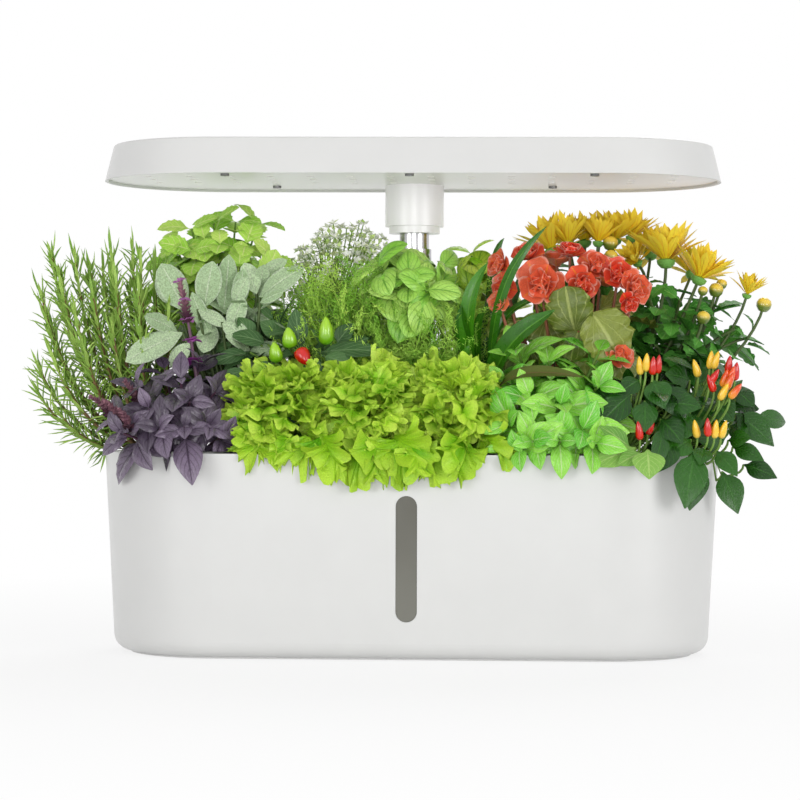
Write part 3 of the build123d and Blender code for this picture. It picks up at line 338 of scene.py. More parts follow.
# ---- Pump ----------------------------------------------------------------------------------------
# A black submersible pump on four rubber feet, hung from a clear riser, with a foam filter in front.
finish_node("pump_rotor", moulded("rotor_plastic", (0.06, 0.06, 0.07), 0.5))
foam = moulded("filter_foam", (0.012, 0.012, 0.012), 0.95, grain=0.0011, depth=0.0012, mottle=0.5)
finish_node("pump_filter", foam)
finish_node("pump_feet", pad_rubber)
clear_tube = moulded("clear_tube", (0.85, 0.88, 0.88), 0.12, Transmission_Weight=0.7, IOR=1.45)
finish_node("pump_riser", clear_tube)

# ---- Rosemary ------------------------------------------------------------------------------------
# A woody bush at the left end. Its brown stems lean out over the rim and then rise, and carry narrow
# needles in close crossed pairs, rolled down at their margins, with painted shade that darkens them low on
# the stems.
mm = 0.001
sponge_top = 117
rosemary_foot = (-156, 0, sponge_top)
rosemary_tips = [
    (-227, -6, 247), (-214, 4, 246), (-221, -12, 236), (-234, -2, 222), (-205, 12, 238), (-236, 2, 177),
    (-234, -8, 160), (-219, -14, 147), (-229, 6, 203), (-210, -18, 212), (-226, -14, 188),
    (-197, 10, 238), (-190, 0, 247), (-178, 8, 250), (-171, -6, 247), (-164, 12, 240), (-155, 2, 232),
    (-185, -14, 230), (-199, -16, 222), (-170, -19, 222), (-152, -14, 216), (-193, 16, 234),
    (-206, 16, 230), (-181, 20, 222), (-160, 20, 226), (-186, -22, 202), (-168, -24, 196), (-203, -22, 188),
]


def srgb(red, green, blue):
    """A screen colour, 0 to 255, as linear light."""
    return tuple(
        part / 12.92 if part <= 0.04045 else ((part + 0.055) / 1.055) ** 2.4
        for part in (red / 255, green / 255, blue / 255)
    )


def ovate(widest=0.4, blunt=0.75):
    """The half width of a leaf at a share of its length: 1 at its widest place, almost 0 at its ends."""
    power = math.log(0.5) / math.log(widest)
    return lambda along: np.sin(np.pi * np.clip(along, 0, 1) ** power) ** blunt


def sheet(upper, lower, along, across):
    """Two grids of points as one closed thin form that share the points of their rim."""
    rows, columns = upper.shape[0] - 1, upper.shape[1] - 1
    top = np.arange((rows + 1) * (columns + 1)).reshape(rows + 1, columns + 1)
    under = top.copy()
    under[1:-1, 1:-1] = top.size + np.arange((rows - 1) * (columns - 1)).reshape(rows - 1, -1)
    corners = []
    for index, order in ((top, 1), (under, -1)):
        ring = [index[:-1, :-1], index[:-1, 1:], index[1:, 1:], index[1:, :-1]]
        corners.append(np.stack([part.ravel() for part in ring[::order]], axis=1))
    chart = np.stack(np.broadcast_arrays(across, along), axis=-1)
    points = np.concatenate([upper.reshape(-1, 3), lower[1:-1, 1:-1].reshape(-1, 3)])
    chart = np.concatenate([chart.reshape(-1, 2), chart[1:-1, 1:-1].reshape(-1, 2)])
    return points, np.concatenate(corners), chart


def blade(length, width, outline=None, rows=6, columns=4, cup=0.0, fold=0.0, droop=0.0, ruffle=(0, 0),
          quilt=(0, 0), teeth=0.0, stalk=0.0, thickness=0.4, phase=0.0):
    """A closed thin leaf or petal in millimetres. It grows from the origin along +Y, facing +Z.

    cup raises the margins by a share of the half width and fold by a V; droop bends the tip down by
    that many degrees. ruffle and quilt are a height and a number of waves or bulges. teeth is the
    share of the half width that the notches take, and stalk the share of the length that is a stem.
    """
    outline = outline or ovate()
    along = np.linspace(0, 1, rows + 1)[:, None]
    across = np.linspace(-1, 1, columns + 1)[None, :]
    half = np.maximum(width / 2 * outline((along - stalk) / (1 - stalk)), 0.02 * width)
    half = np.where(along < stalk, 0.03 * width, half)
    notch = np.zeros_like(along)
    notch[1::2] = teeth
    spread = half * (1 - notch * np.abs(across) ** 3)
    side = np.abs(across)
    height = cup * spread * side ** 2 + fold * spread * side
    blade_share = np.clip(half / half.max(), 0, 1)
    if ruffle[0]:
        turn = 2 * np.pi * ruffle[1] * along + phase + 2.3 * (across > 0)
        height = height + ruffle[0] * side ** 2 * np.sin(turn) * blade_share
    if quilt[0]:
        bulge = np.abs(np.sin(np.pi * quilt[1] * (along - 0.3 * side * width / length)))
        height = height + quilt[0] * bulge * np.sqrt(side) * (1 - side ** 4) * blade_share
    bend = math.radians(droop)
    angle = bend * along
    if abs(bend) > 1e-6:
        centre_y, centre_z = length * np.sin(angle) / bend, -length * (1 - np.cos(angle)) / bend
    else:
        centre_y, centre_z = length * along, 0 * along
    centre_y = centre_y + notch * 0.25 * length / rows * side
    body = thickness / 2 * (1 - across ** 2) * np.minimum(1, 4 * along * (1 - along) + 0.1)

    def layer(level):
        return np.stack(
            [spread * across, centre_y + level * np.sin(angle), centre_z + level * np.cos(angle)], axis=-1
        )

    return sheet(layer(height + body), layer(height - body), along, (across + 1) / 2)


def put(form, foot, heading=None, face=(0, 0, 1), size=1.0):
    """Move a form so that its foot is at a point, its length runs along heading and its face looks out."""
    points, faces, chart = form
    forward = Vector(heading).normalized()
    up = Vector(face) - forward * Vector(face).dot(forward)
    up.normalize()
    turn = np.array([forward.cross(up), forward, up])
    return points * size @ turn + np.array(foot), faces, chart


def leaf_at(foot, tip, width, face=(0, -1, 0.6), **shape):
    """A leaf from its foot to its tip, facing a way."""
    way = np.array(tip, float) - np.array(foot)
    return put(blade(float(np.linalg.norm(way)), width, **shape), foot, way, face)


def bent(form, line, face=(0, -1, 0.4)):
    """Lay a flat form along a line of points."""
    points, faces, chart = form
    share = np.clip(points[:, 1] / points[:, 1].max(), 0, 1) * (len(line) - 1)
    ways = np.gradient(line, axis=0)
    place, way = (
        np.stack([np.interp(share, np.arange(len(line)), part) for part in values.T], axis=1)
        for values in (line, ways)
    )
    way /= np.linalg.norm(way, axis=1)[:, None]
    side = np.cross(way, face)
    side /= np.linalg.norm(side, axis=1)[:, None]
    return place + side * points[:, :1] + np.cross(side, way) * points[:, 2:], faces, chart


def aimed(form, place, axis, size=1.0):
    """Move a form made along +Z so that it stands at a place along an axis."""
    points, faces, chart = form
    turn = np.array(Vector(axis).to_track_quat("Z", "Y").to_matrix())
    return points * size @ turn.T + np.array(place), faces, chart


def joined(forms):
    """Several forms as one, each with a random tint of its own at its vertices."""
    draw = np.random.default_rng(len(forms))
    faces, tints, start = [], [], 0
    for points, corners, chart in forms:
        faces += [[int(corner) + start for corner in face] for face in corners]
        tints.append(np.full(len(points), draw.random()))
        start += len(points)
    points = np.concatenate([form[0] for form in forms])
    return points, faces, np.concatenate([form[2] for form in forms]), np.concatenate(tints)


def make_mesh(name, form):
    """A mesh in metres from a form, smooth, with crisp margins and its chart as a UV map."""
    points, faces, chart = form[:3]
    mesh = bpy.data.meshes.new(name)
    mesh.from_pydata((points * mm).tolist(), [], [list(face) for face in faces])
    corner = np.empty(len(mesh.loops), dtype=np.int32)
    mesh.loops.foreach_get("vertex_index", corner)
    mesh.uv_layers.new(name="UVMap").data.foreach_set("uv", chart[corner].ravel())
    if len(form) > 3:
        mesh.attributes.new("tint", "FLOAT", "POINT").data.foreach_set("value", form[3])
        mesh.attributes.new("along", "FLOAT", "POINT").data.foreach_set("value", np.ones(len(points)))
    mesh.shade_smooth()
    mesh.set_sharp_from_angle(angle=math.radians(75))
    return mesh


mast_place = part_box("mast_outer_tube")[0].lerp(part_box("mast_outer_tube")[1], 0.5)
tube_room, neck_room, neck_foot, lamp_room = 0.0125, 0.0205, 0.2515, 0.2835
rim_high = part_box("water_tank")[1]
back_room = 0.086
rim_room = 0.0012


def keep_clear(mesh):
    """Move the points that stray into the mast, the lamp or the tank's wall, or far out at the back."""
    points = np.empty(len(mesh.vertices) * 3)
    mesh.vertices.foreach_get("co", points)
    points = points.reshape(-1, 3)
    points[:, 2] = np.minimum(points[:, 2], lamp_room)
    points[:, 1] = np.minimum(points[:, 1], back_room)
    away = points[:, :2] - np.array(mast_place[:2])
    distance = np.maximum(np.linalg.norm(away, axis=1), 1e-5)
    room = np.where(points[:, 2] > neck_foot, neck_room, tube_room)
    push = np.maximum(room / distance, 1.0)
    points[:, :2] = np.array(mast_place[:2]) + away * push[:, None]
    end = rim_high.y + rim_room
    straight = rim_high.x - rim_high.y
    over = np.maximum(np.abs(points[:, 0]) - straight, 0)
    outside = np.hypot(over, points[:, 1]) > end
    sunk = ~outside & (points[:, 2] < rim_high.z + rim_room)
    points[sunk, 2] = rim_high.z + rim_room
    mesh.vertices.foreach_set("co", points.ravel())


def dress(name, mesh, material, replaced=None, body="deck_body"):
    """Show a finished mesh as a piece of the planter, with its material, on the deck."""
    mesh.materials.clear()
    mesh.materials.append(material)
    piece = bpy.data.objects.new(name, mesh)
    mesh.name = name
    bpy.context.scene.collection.objects.link(piece)
    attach(piece, body)
    if replaced:
        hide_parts(replaced)
    return piece


def curve_through(foot, bend, tip, steps=10):
    """A stem's line from its foot, drawn towards a bend, to its tip."""
    foot, bend, tip = (np.array(point, float) for point in (foot, bend, tip))
    share = np.linspace(0, 1, steps + 1)[:, None]
    return (1 - share) ** 2 * foot + 2 * share * (1 - share) * bend + share ** 2 * tip


def stem_lines(lines):
    """Stems as a mesh of edges alone."""
    mesh = bpy.data.meshes.new("stem_lines")
    points, edges = [], []
    for line in lines:
        edges += [(len(points) + step, len(points) + step + 1) for step in range(len(line) - 1)]
        points += (np.asarray(line) * mm).tolist()
    mesh.from_pydata(points, edges, [])
    return mesh


def new_group(name, inputs):
    """A Geometry Nodes group with named inputs, and links between its nodes by socket name."""
    group = bpy.data.node_groups.new(name, "GeometryNodeTree")
    group.interface.new_socket("Geometry", in_out="INPUT", socket_type="NodeSocketGeometry")
    group.interface.new_socket("Geometry", in_out="OUTPUT", socket_type="NodeSocketGeometry")
    for label, kind in inputs:
        group.interface.new_socket(label, in_out="INPUT", socket_type="NodeSocket" + kind)
    return group


def mix_of(group, share, first, second):
    node = group.nodes.new("ShaderNodeMix")
    for number, value in ((0, share), (2, first), (3, second)):
        group.links.new(value, node.inputs[number])
    return node.outputs[0]


def random_of(group, low, high, seed, kind="FLOAT"):
    """A random value, the same at each run."""
    node = group.nodes.new("FunctionNodeRandomValue")
    node.data_type = kind
    first, last, result = (2, 3, 1) if kind == "FLOAT" else (4, 5, 2)
    for number, value in ((first, low), (last, high), (8, seed)):
        if isinstance(value, bpy.types.NodeSocket):
            group.links.new(value, node.inputs[number])
        else:
            node.inputs[number].default_value = value
    return node.outputs[result]


def keep_value(group, geometry, name, value, kind="FLOAT", domain="POINT"):
    """Store a value under a name on a geometry's points or instances."""
    node = group.nodes.new("GeometryNodeStoreNamedAttribute")
    node.data_type = kind
    node.domain = domain
    node.inputs["Name"].default_value = name
    group.links.new(geometry, node.inputs["Geometry"])
    group.links.new(value, node.inputs["Value"])
    return node.outputs[0]


def kept_value(group, name, kind="FLOAT"):
    node = group.nodes.new("GeometryNodeInputNamedAttribute")
    node.data_type = kind
    node.inputs["Name"].default_value = name
    return node.outputs[0]


def turn_about(group, rotation, axis, angle):
    """A rotation followed by a turn about one of its own axes."""
    turn = add_node(group, "FunctionNodeAxisAngleToRotation")
    turn.inputs["Axis"].default_value = axis
    group.links.new(angle, turn.inputs["Angle"])
    node = add_node(group, "FunctionNodeRotateRotation", rotation_space="LOCAL")
    group.links.new(rotation, node.inputs["Rotation"])
    group.links.new(turn.outputs[0], node.inputs["Rotate By"])
    return node.outputs[0]


def leaf_group():
    """Leaves in rings along each stem, every ring turned from the last, drawn from several shapes."""
    group = new_group("leaves_on_stems", [
        ("Leaves", "Collection"), ("Kinds", "Int"), ("Spacing", "Float"), ("Start", "Float"), ("Ring", "Int"),
        ("Turn", "Float"), ("Low Angle", "Float"), ("High Angle", "Float"), ("Low Size", "Float"),
        ("High Size", "Float"), ("Scatter", "Float"), ("Seed", "Int"), ("Material", "Material"),
    ])
    link = group.links.new
    given = group.nodes.new("NodeGroupInput").outputs
    curve = group.nodes.new("GeometryNodeMeshToCurve")
    link(given["Geometry"], curve.inputs[0])
    even = add_node(group, "GeometryNodeResampleCurve", mode="LENGTH")
    link(curve.outputs[0], even.inputs["Curve"])
    link(given["Spacing"], even.inputs["Length"])
    place = group.nodes.new("GeometryNodeSplineParameter").outputs
    stems = keep_value(group, even.outputs[0], "along", place["Factor"])
    stems = keep_value(group, stems, "ring", place["Index"], "INT")
    tangent = group.nodes.new("GeometryNodeInputTangent").outputs[0]
    stems = keep_value(group, stems, "stem_way", tangent, "FLOAT_VECTOR")
    points = add_node(group, "GeometryNodeCurveToPoints", mode="EVALUATED")
    link(stems, points.inputs["Curve"])
    copies = add_node(group, "GeometryNodeDuplicateElements", domain="POINT")
    link(points.outputs["Points"], copies.inputs["Geometry"])
    along = kept_value(group, "along")
    link(calc(group, "GREATER_THAN", along, given["Start"]), copies.inputs["Selection"])
    link(given["Ring"], copies.inputs["Amount"])
    upright = add_node(group, "FunctionNodeAlignRotationToVector", axis="Z")
    link(kept_value(group, "stem_way", "FLOAT_VECTOR"), upright.inputs["Vector"])
    scatter = given["Scatter"]
    back = calc(group, "MULTIPLY", scatter, -1.0)
    ring_turn = calc(group, "MULTIPLY", kept_value(group, "ring", "INT"), given["Turn"])
    share = calc(group, "DIVIDE", copies.outputs["Duplicate Index"], given["Ring"])
    share = calc(group, "MULTIPLY", share, 2 * math.pi)
    around = calc(group, "ADD", calc(group, "ADD", ring_turn, share),
                  random_of(group, back, scatter, given["Seed"]))
    leafed = calc(group, "DIVIDE", calc(group, "SUBTRACT", along, given["Start"]),
                  calc(group, "SUBTRACT", 1.0, given["Start"]))
    lean = mix_of(group, leafed, given["Low Angle"], given["High Angle"])
    next_seed = calc(group, "ADD", given["Seed"], 17.0)
    lean = calc(group, "ADD", lean, random_of(group, back, scatter, next_seed))
    lift = calc(group, "SUBTRACT", math.pi / 2, lean)
    rotation = turn_about(group, upright.outputs[0], (0, 0, 1), around)
    rotation = turn_about(group, rotation, (1, 0, 0), lift)
    size = mix_of(group, leafed, given["Low Size"], given["High Size"])
    size = calc(group, "MULTIPLY", size, random_of(group, 0.8, 1.2, calc(group, "ADD", given["Seed"], 31.0)))
    shapes = add_node(group, "GeometryNodeCollectionInfo")
    shapes.inputs["Separate Children"].default_value = True
    shapes.inputs["Reset Children"].default_value = True
    link(given["Leaves"], shapes.inputs["Collection"])
    leaves = add_node(group, "GeometryNodeInstanceOnPoints")
    leaves.inputs["Pick Instance"].default_value = True
    link(copies.outputs["Geometry"], leaves.inputs["Points"])
    link(shapes.outputs[0], leaves.inputs["Instance"])
    link(random_of(group, 0, given["Kinds"], next_seed, "INT"), leaves.inputs["Instance Index"])
    link(rotation, leaves.inputs["Rotation"])
    link(size, leaves.inputs["Scale"])
    tinted = keep_value(group, leaves.outputs[0], "tint", random_of(group, 0.0, 1.0, given["Seed"]),
                        domain="INSTANCE")
    real = group.nodes.new("GeometryNodeRealizeInstances")
    link(tinted, real.inputs[0])
    coated = group.nodes.new("GeometryNodeSetMaterial")
    link(real.outputs[0], coated.inputs["Geometry"])
    link(given["Material"], coated.inputs["Material"])
    link(coated.outputs[0], group.nodes.new("NodeGroupOutput").inputs[0])
    return group


def stem_group():
    """Round stems along lines, thinner towards their tips."""
    group = new_group("round_stems", [
        ("Foot Radius", "Float"), ("Tip Radius", "Float"), ("Sides", "Int"), ("Material", "Material"),
    ])
    link = group.links.new
    given = group.nodes.new("NodeGroupInput").outputs
    curve = group.nodes.new("GeometryNodeMeshToCurve")
    link(given["Geometry"], curve.inputs[0])
    along = group.nodes.new("GeometryNodeSplineParameter").outputs["Factor"]
    ring = group.nodes.new("GeometryNodeCurvePrimitiveCircle")
    ring.inputs["Radius"].default_value = 1.0
    link(given["Sides"], ring.inputs["Resolution"])
    tube = group.nodes.new("GeometryNodeCurveToMesh")
    tube.inputs["Fill Caps"].default_value = True
    link(curve.outputs[0], tube.inputs["Curve"])
    link(ring.outputs[0], tube.inputs["Profile Curve"])
    link(mix_of(group, along, given["Foot Radius"], given["Tip Radius"]), tube.inputs["Scale"])
    smooth = group.nodes.new("GeometryNodeSetShadeSmooth")
    link(tube.outputs[0], smooth.inputs["Geometry"])
    real = group.nodes.new("GeometryNodeRealizeInstances")
    link(smooth.outputs[0], real.inputs[0])
    coated = group.nodes.new("GeometryNodeSetMaterial")
    link(real.outputs[0], coated.inputs["Geometry"])
    link(given["Material"], coated.inputs["Material"])
    link(coated.outputs[0], group.nodes.new("NodeGroupOutput").inputs[0])
    return group


def grown(group, lines, **inputs):
    """Run a Geometry Nodes group over lines, and return its result as a plain mesh."""
    helper = bpy.data.objects.new("helper", stem_lines(lines))
    bpy.context.scene.collection.objects.link(helper)
    modifier = helper.modifiers.new("grow", "NODES")
    modifier.node_group = group
    for item in group.interface.items_tree:
        key = item.name.lower().replace(" ", "_")
        if item.in_out == "INPUT" and key in inputs:
            modifier[item.identifier] = inputs[key]
    graph = bpy.context.evaluated_depsgraph_get()
    mesh = bpy.data.meshes.new_from_object(helper.evaluated_get(graph), depsgraph=graph)
    bpy.data.objects.remove(helper)
    for name in ("ring", "stem_way"):
        if name in mesh.attributes:
            mesh.attributes.remove(mesh.attributes[name])
    return mesh


leaves_on_stems = leaf_group()
round_stems = stem_group()


def leafy(lines, shapes, material, spacing=8, start=0.3, ring=2, turn=90, low_angle=85, high_angle=40,
          low_size=1.0, high_size=0.5, scatter=12, seed=1):
    """Stems' leaves as one mesh. Spacing is in millimetres and angles are in degrees."""
    stock = bpy.data.collections.new("leaf_shapes")
    for number, shape in enumerate(shapes):
        stock.objects.link(bpy.data.objects.new(f"shape_{number}", make_mesh("shape", shape)))
    mesh = grown(
        leaves_on_stems, lines, leaves=stock, kinds=len(shapes) - 1, spacing=spacing * mm, start=start,
        ring=ring, turn=math.radians(turn), low_angle=math.radians(low_angle),
        high_angle=math.radians(high_angle), low_size=low_size, high_size=high_size,
        scatter=math.radians(scatter), seed=seed, material=material,
    )
    for shape in list(stock.objects):
        bpy.data.objects.remove(shape)
    bpy.data.collections.remove(stock)
    keep_clear(mesh)
    return mesh


def stems_of(lines, material, foot_radius=1.5, tip_radius=0.6, sides=6):
    mesh = grown(round_stems, lines, foot_radius=foot_radius * mm, tip_radius=tip_radius * mm, sides=sides,
                 material=material)
    keep_clear(mesh)
    return mesh


def foliage(name, deep, fresh, vein=None, ribs=0, slant=0.5, roughness=0.5, sheer=0.1, shine=0.0,
            relief=0.0004, edge=None, low=0.6, rim=None, rim_from=0.55, speck=0.15, fan=0):
    """A leaf's or petal's skin: tinted by leaf, cloudy, with painted shade low on the stem, veined by its UV
    map.
    """
    material = bpy.data.materials.new(name)
    material.use_nodes = True
    tree = material.node_tree
    link = tree.links.new
    skin = tree.nodes["Principled BSDF"]
    tint = add_node(tree, "ShaderNodeAttribute", attribute_name="tint").outputs["Fac"]
    stem_shade = add_node(tree, "ShaderNodeAttribute", attribute_name="along").outputs["Fac"]
    cloud = noise(tree, 0.006)
    share = calc(tree, "ADD", calc(tree, "MULTIPLY", tint, 0.6), calc(tree, "MULTIPLY", cloud, 0.4))
    colour = mix_colour(tree, share, deep, fresh)
    # painted shade: darker towards the foot of each stem, by the share along it
    colour = mix_colour(tree, ramp(tree, stem_shade, 0.1, 0.6), shade(deep, low), colour)
    relief_height = noise(tree, 0.0012)
    if vein:
        chart = add_node(tree, "ShaderNodeUVMap", uv_map="UVMap")
        split = tree.nodes.new("ShaderNodeSeparateXYZ")
        link(chart.outputs[0], split.inputs[0])
        side = calc(tree, "ABSOLUTE", calc(tree, "SUBTRACT", split.outputs[0], 0.5))
        line = ramp(tree, side, 0.015, 0.05, 1.0, 0.0)
        if ribs:
            wave = calc(tree, "SUBTRACT", calc(tree, "MULTIPLY", split.outputs[1], ribs),
                        calc(tree, "MULTIPLY", side, ribs * slant))
            if fan:
                wave = calc(tree, "MULTIPLY", calc(tree, "ARCTAN2", side, split.outputs[1]), fan)
            wave = calc(tree, "PINGPONG", wave, 0.5)
            line = calc(tree, "MAXIMUM", line, ramp(tree, wave, 0.02, 0.12, 0.75, 0.0))
        colour = mix_colour(tree, calc(tree, "MULTIPLY", line, 0.7), colour, vein)
        relief_height = calc(tree, "SUBTRACT", relief_height, line)
        if edge:
            colour = mix_colour(tree, ramp(tree, side, 0.40, 0.49), colour, edge)
        if rim:
            colour = mix_colour(tree, ramp(tree, split.outputs[1], rim_from, 1.0, 0.0, 0.75), colour, rim)
    dots = ramp(tree, noise(tree, 0.0009), 0.35, 0.65, speck, 0.0)
    colour = mix_colour(tree, dots, colour, shade(deep, 0.4))
    link(colour, skin.inputs["Base Color"])
    skin.inputs["Specular IOR Level"].default_value = 0.3
    link(ramp(tree, noise(tree, 0.004), 0.3, 0.7, roughness * 0.85, roughness * 1.15),
         skin.inputs["Roughness"])
    skin.inputs["Coat Weight"].default_value = shine
    skin.inputs["Coat Roughness"].default_value = 0.25
    add_bump(tree, relief_height, relief)
    through = add_node(tree, "ShaderNodeBsdfTranslucent")
    link(colour, through.inputs["Color"])
    both = add_node(tree, "ShaderNodeMixShader")
    both.inputs["Fac"].default_value = sheer
    link(skin.outputs[0], both.inputs[1])
    link(through.outputs[0], both.inputs[2])
    link(both.outputs[0], tree.nodes["Material Output"].inputs["Surface"])
    return material


woody_bark = moulded("woody_bark", srgb(122, 96, 62), 0.8, grain=0.0008, depth=0.0003, mottle=0.25)
rosemary_skin = foliage("rosemary_skin", srgb(104, 156, 44), srgb(206, 238, 126), srgb(84, 130, 44),
                        roughness=0.5)
rosemary_lines = []
for tip in rosemary_tips:
    foot = np.array(rosemary_foot)
    bend = foot + (np.array(tip) - foot) * (0.8, 0.6, 0.3)
    rosemary_lines.append(curve_through(foot + (np.array(tip) - foot) * (0.06, 0.12, 0), bend, tip))
needles = [
    blade(length, 1.8, ovate(0.5, 0.35), rows=3, columns=2, cup=-0.5, droop=droop, thickness=0.9)
    for length, droop in ((15, 25), (18, -12), (12, 40))
]
dress("rosemary_needles",
      leafy(rosemary_lines, needles, rosemary_skin, spacing=2.1, start=0.25, low_angle=62, high_angle=16,
            low_size=0.9, high_size=0.95, scatter=14, seed=3), rosemary_skin, "rosemary")
dress("rosemary_stems", stems_of(rosemary_lines, woody_bark, 1.7, 0.7), woody_bark)

# ---- Lemon balm ----------------------------------------------------------------------------------
# Bright toothed leaves in crossed pairs, quilted between their veins and so thin that light comes
# through. They lie out flat from green square stems.
green_bark = moulded("green_bark", srgb(112, 148, 60), 0.6, grain=0.0006, depth=0.0001, mottle=0.15)
dark_bark = moulded("dark_bark", srgb(72, 92, 44), 0.6, grain=0.0006, depth=0.0001, mottle=0.15)
golden_angle = 137.5


def bush(foot, centre, radii, count, seed, low=-0.3, reach=0.7):
    """Stems from one foot to tips that are spread over a dome, each ending straight outwards."""
    draw = np.random.default_rng(seed)
    lines = []
    for number in range(count):
        height = 1 - (1 - low) * (number + 0.5) / count
        around = number * math.radians(golden_angle) + draw.normal(0, 0.2)
        level = math.sqrt(max(0.0, 1 - height ** 2))
        way = np.array([level * math.cos(around), level * math.sin(around), height])
        tip = np.array(centre) + way * radii * draw.uniform(0.88, 1.03)
        bend = tip - way * reach * np.mean(radii)
        lines.append(curve_through(foot, bend, tip))
    return lines


def shoots(foot, tips, reach=30):
    """Stems from one foot to chosen tips, each a place and the way that its end points."""
    lines = []
    for tip, way in tips:
        way = np.array(way) / np.linalg.norm(way)
        lines.append(curve_through(foot, np.array(tip) - way * reach, tip))
    return lines


balm_skin = foliage("balm_skin", srgb(146, 222, 44), srgb(236, 255, 136), srgb(248, 255, 180), ribs=6,
                    sheer=0.15)
balm_foot = (-126, 44, sponge_top)
balm_tips = [
    ((-154, 24, 258), (-0.5, -1, 0.8)), ((-143, 30, 267), (-0.2, -0.9, 1)), ((-129, 32, 271), (0, -0.9, 1)),
    ((-115, 34, 272), (0.2, -0.8, 1)), ((-101, 38, 271), (0.5, -0.5, 1)), ((-157, 18, 244), (-0.7, -1, 0.5)),
    ((-140, 16, 252), (-0.2, -1, 0.6)), ((-123, 16, 256), (0.1, -1, 0.6)), ((-107, 18, 256), (0.3, -1, 0.6)),
    ((-90, 22, 248), (0.8, -1, 0.4)), ((-147, 14, 231), (-0.4, -1, 0.3)), ((-129, 13, 236), (0, -1, 0.3)),
    ((-111, 13, 240), (0.1, -1, 0.3)), ((-95, 15, 233), (0.5, -1, 0.2)), ((-134, 26, 260), (-0.3, -1, 0.5)),
]
balm_front = shoots(balm_foot, balm_tips)
balm_back = bush(balm_foot, (-132, 50, 212), (44, 24, 50), 34, seed=5, low=-0.6)
balm_leaves = [
    blade(length, width, ovate(0.4, 0.6), rows=12, columns=4, cup=-0.1, fold=0.25, droop=droop,
          quilt=(1.0, 6), teeth=0.16, stalk=0.16, thickness=0.4)
    for length, width, droop in ((25, 20, 35), (28, 22, 20), (22, 18, 50))
]
dress("lemon_balm_leaves",
      leafy(balm_front, balm_leaves, balm_skin, spacing=8, start=0.7, low_angle=95, high_angle=60,
            low_size=1.0, high_size=0.75, scatter=16, seed=8), balm_skin, "lemon_balm")
dress("lemon_balm_bush", leafy(balm_back, balm_leaves, balm_skin, spacing=11, start=0.35, low_angle=100,
      high_angle=70, low_size=1.0, high_size=0.7, scatter=16, seed=9), balm_skin)
balm_lines = balm_front + balm_back
dress("lemon_balm_stems", stems_of(balm_lines, green_bark, 1.3, 0.6), green_bark)

# ---- Sage ----------------------------------------------------------------------------------------
# Long oval leaves of grey-green felt, finely pebbled, with pale margins and a pale midrib, on short
# woody stems.
sage_skin = foliage("sage_skin", srgb(158, 190, 138), srgb(222, 242, 202), srgb(232, 246, 214),
                    roughness=0.85, sheer=0.06, relief=0.0012, edge=srgb(204, 220, 190), low=0.5, speck=0.45)
sage_foot = (-104, 0, sponge_top)
sage_places = [
    ((-142, -14, 213), (-155, -20, 243), 19, (0.2, -1, 0.3)),
    ((-146, -12, 215), (-157, -16, 239), 17, (-0.2, -1, 0.4)),
    ((-129, -18, 215), (-124, -22, 244), 17, (0, -1, 0.2)),
    ((-118, -12, 211), (-113, -14, 249), 14, (0.3, -1, 0.1)),
    ((-97, -10, 224), (-104, -12, 244), 13, (0.3, -1, 0.2)),
    ((-111, -16, 217), (-103, -22, 234), 11, (-0.2, -1, 0.2)),
    ((-113, -20, 201), (-104, -26, 221), 12, (0.2, -1, 0.3)),
    ((-97, -4, 235), (-79, -6, 247), 9, (-0.5, -1, 0.1)),
    ((-95, -12, 222), (-69, -18, 242), 16, (-0.2, -1, 0.5)),
    ((-94, -20, 218), (-80, -24, 226), 8, (0, -1, 0.6)),
    ((-146, -16, 200), (-164, -26, 211), 13, (0.1, -1, 0.7)),
    ((-142, -22, 199), (-177, -34, 184), 19, (0, -1, 0.6)),
    ((-137, -24, 193), (-149, -30, 179), 11, (0.1, -1, 0.4)),
    ((-117, -24, 206), (-100, -32, 196), 13, (0, -1, 0.7)),
    ((-133, -20, 214), (-114, -26, 205), 10, (0.1, -1, 0.7)),
    ((-101, -8, 214), (-89, -18, 209), 12, (0, -1, 0.5)),
    ((-124, -16, 206), (-129, -26, 188), 14, (0, -1, 0.5)),
    ((-136, -6, 208), (-141, -10, 220), 13, (0, -1, 0.3)),
]
sage_leaves = [
    leaf_at(foot, tip, width, face, outline=ovate(0.5, 0.55), rows=10, columns=4, fold=0.15, cup=-0.1,
            droop=18, stalk=0.06, thickness=0.9)
    for foot, tip, width, face in sage_places
]
sage_lines = bush(sage_foot, (-108, 0, 190), (34, 22, 34), 13, seed=11)
sage_shapes = [
    blade(length, 14, ovate(0.5, 0.55), rows=8, columns=4, fold=0.15, cup=-0.1, droop=20, thickness=0.8)
    for length in (30, 36)
]
sage_mesh = leafy(sage_lines, sage_shapes, sage_skin, spacing=10, start=0.35, low_angle=80, high_angle=35,
                  high_size=0.7, seed=12)
dress("sage_bush", sage_mesh, sage_skin, "sage")
sage_front = make_mesh("sage_front", joined(sage_leaves))
keep_clear(sage_front)
dress("sage_leaves", sage_front, sage_skin)
sage_lines += [curve_through(sage_foot, (foot[0] * 0.5 - 52, foot[1], 150), foot)
               for foot, tip, width, face in sage_places]
dress("sage_stems", stems_of(sage_lines, dark_bark, 1.4, 0.8), dark_bark)

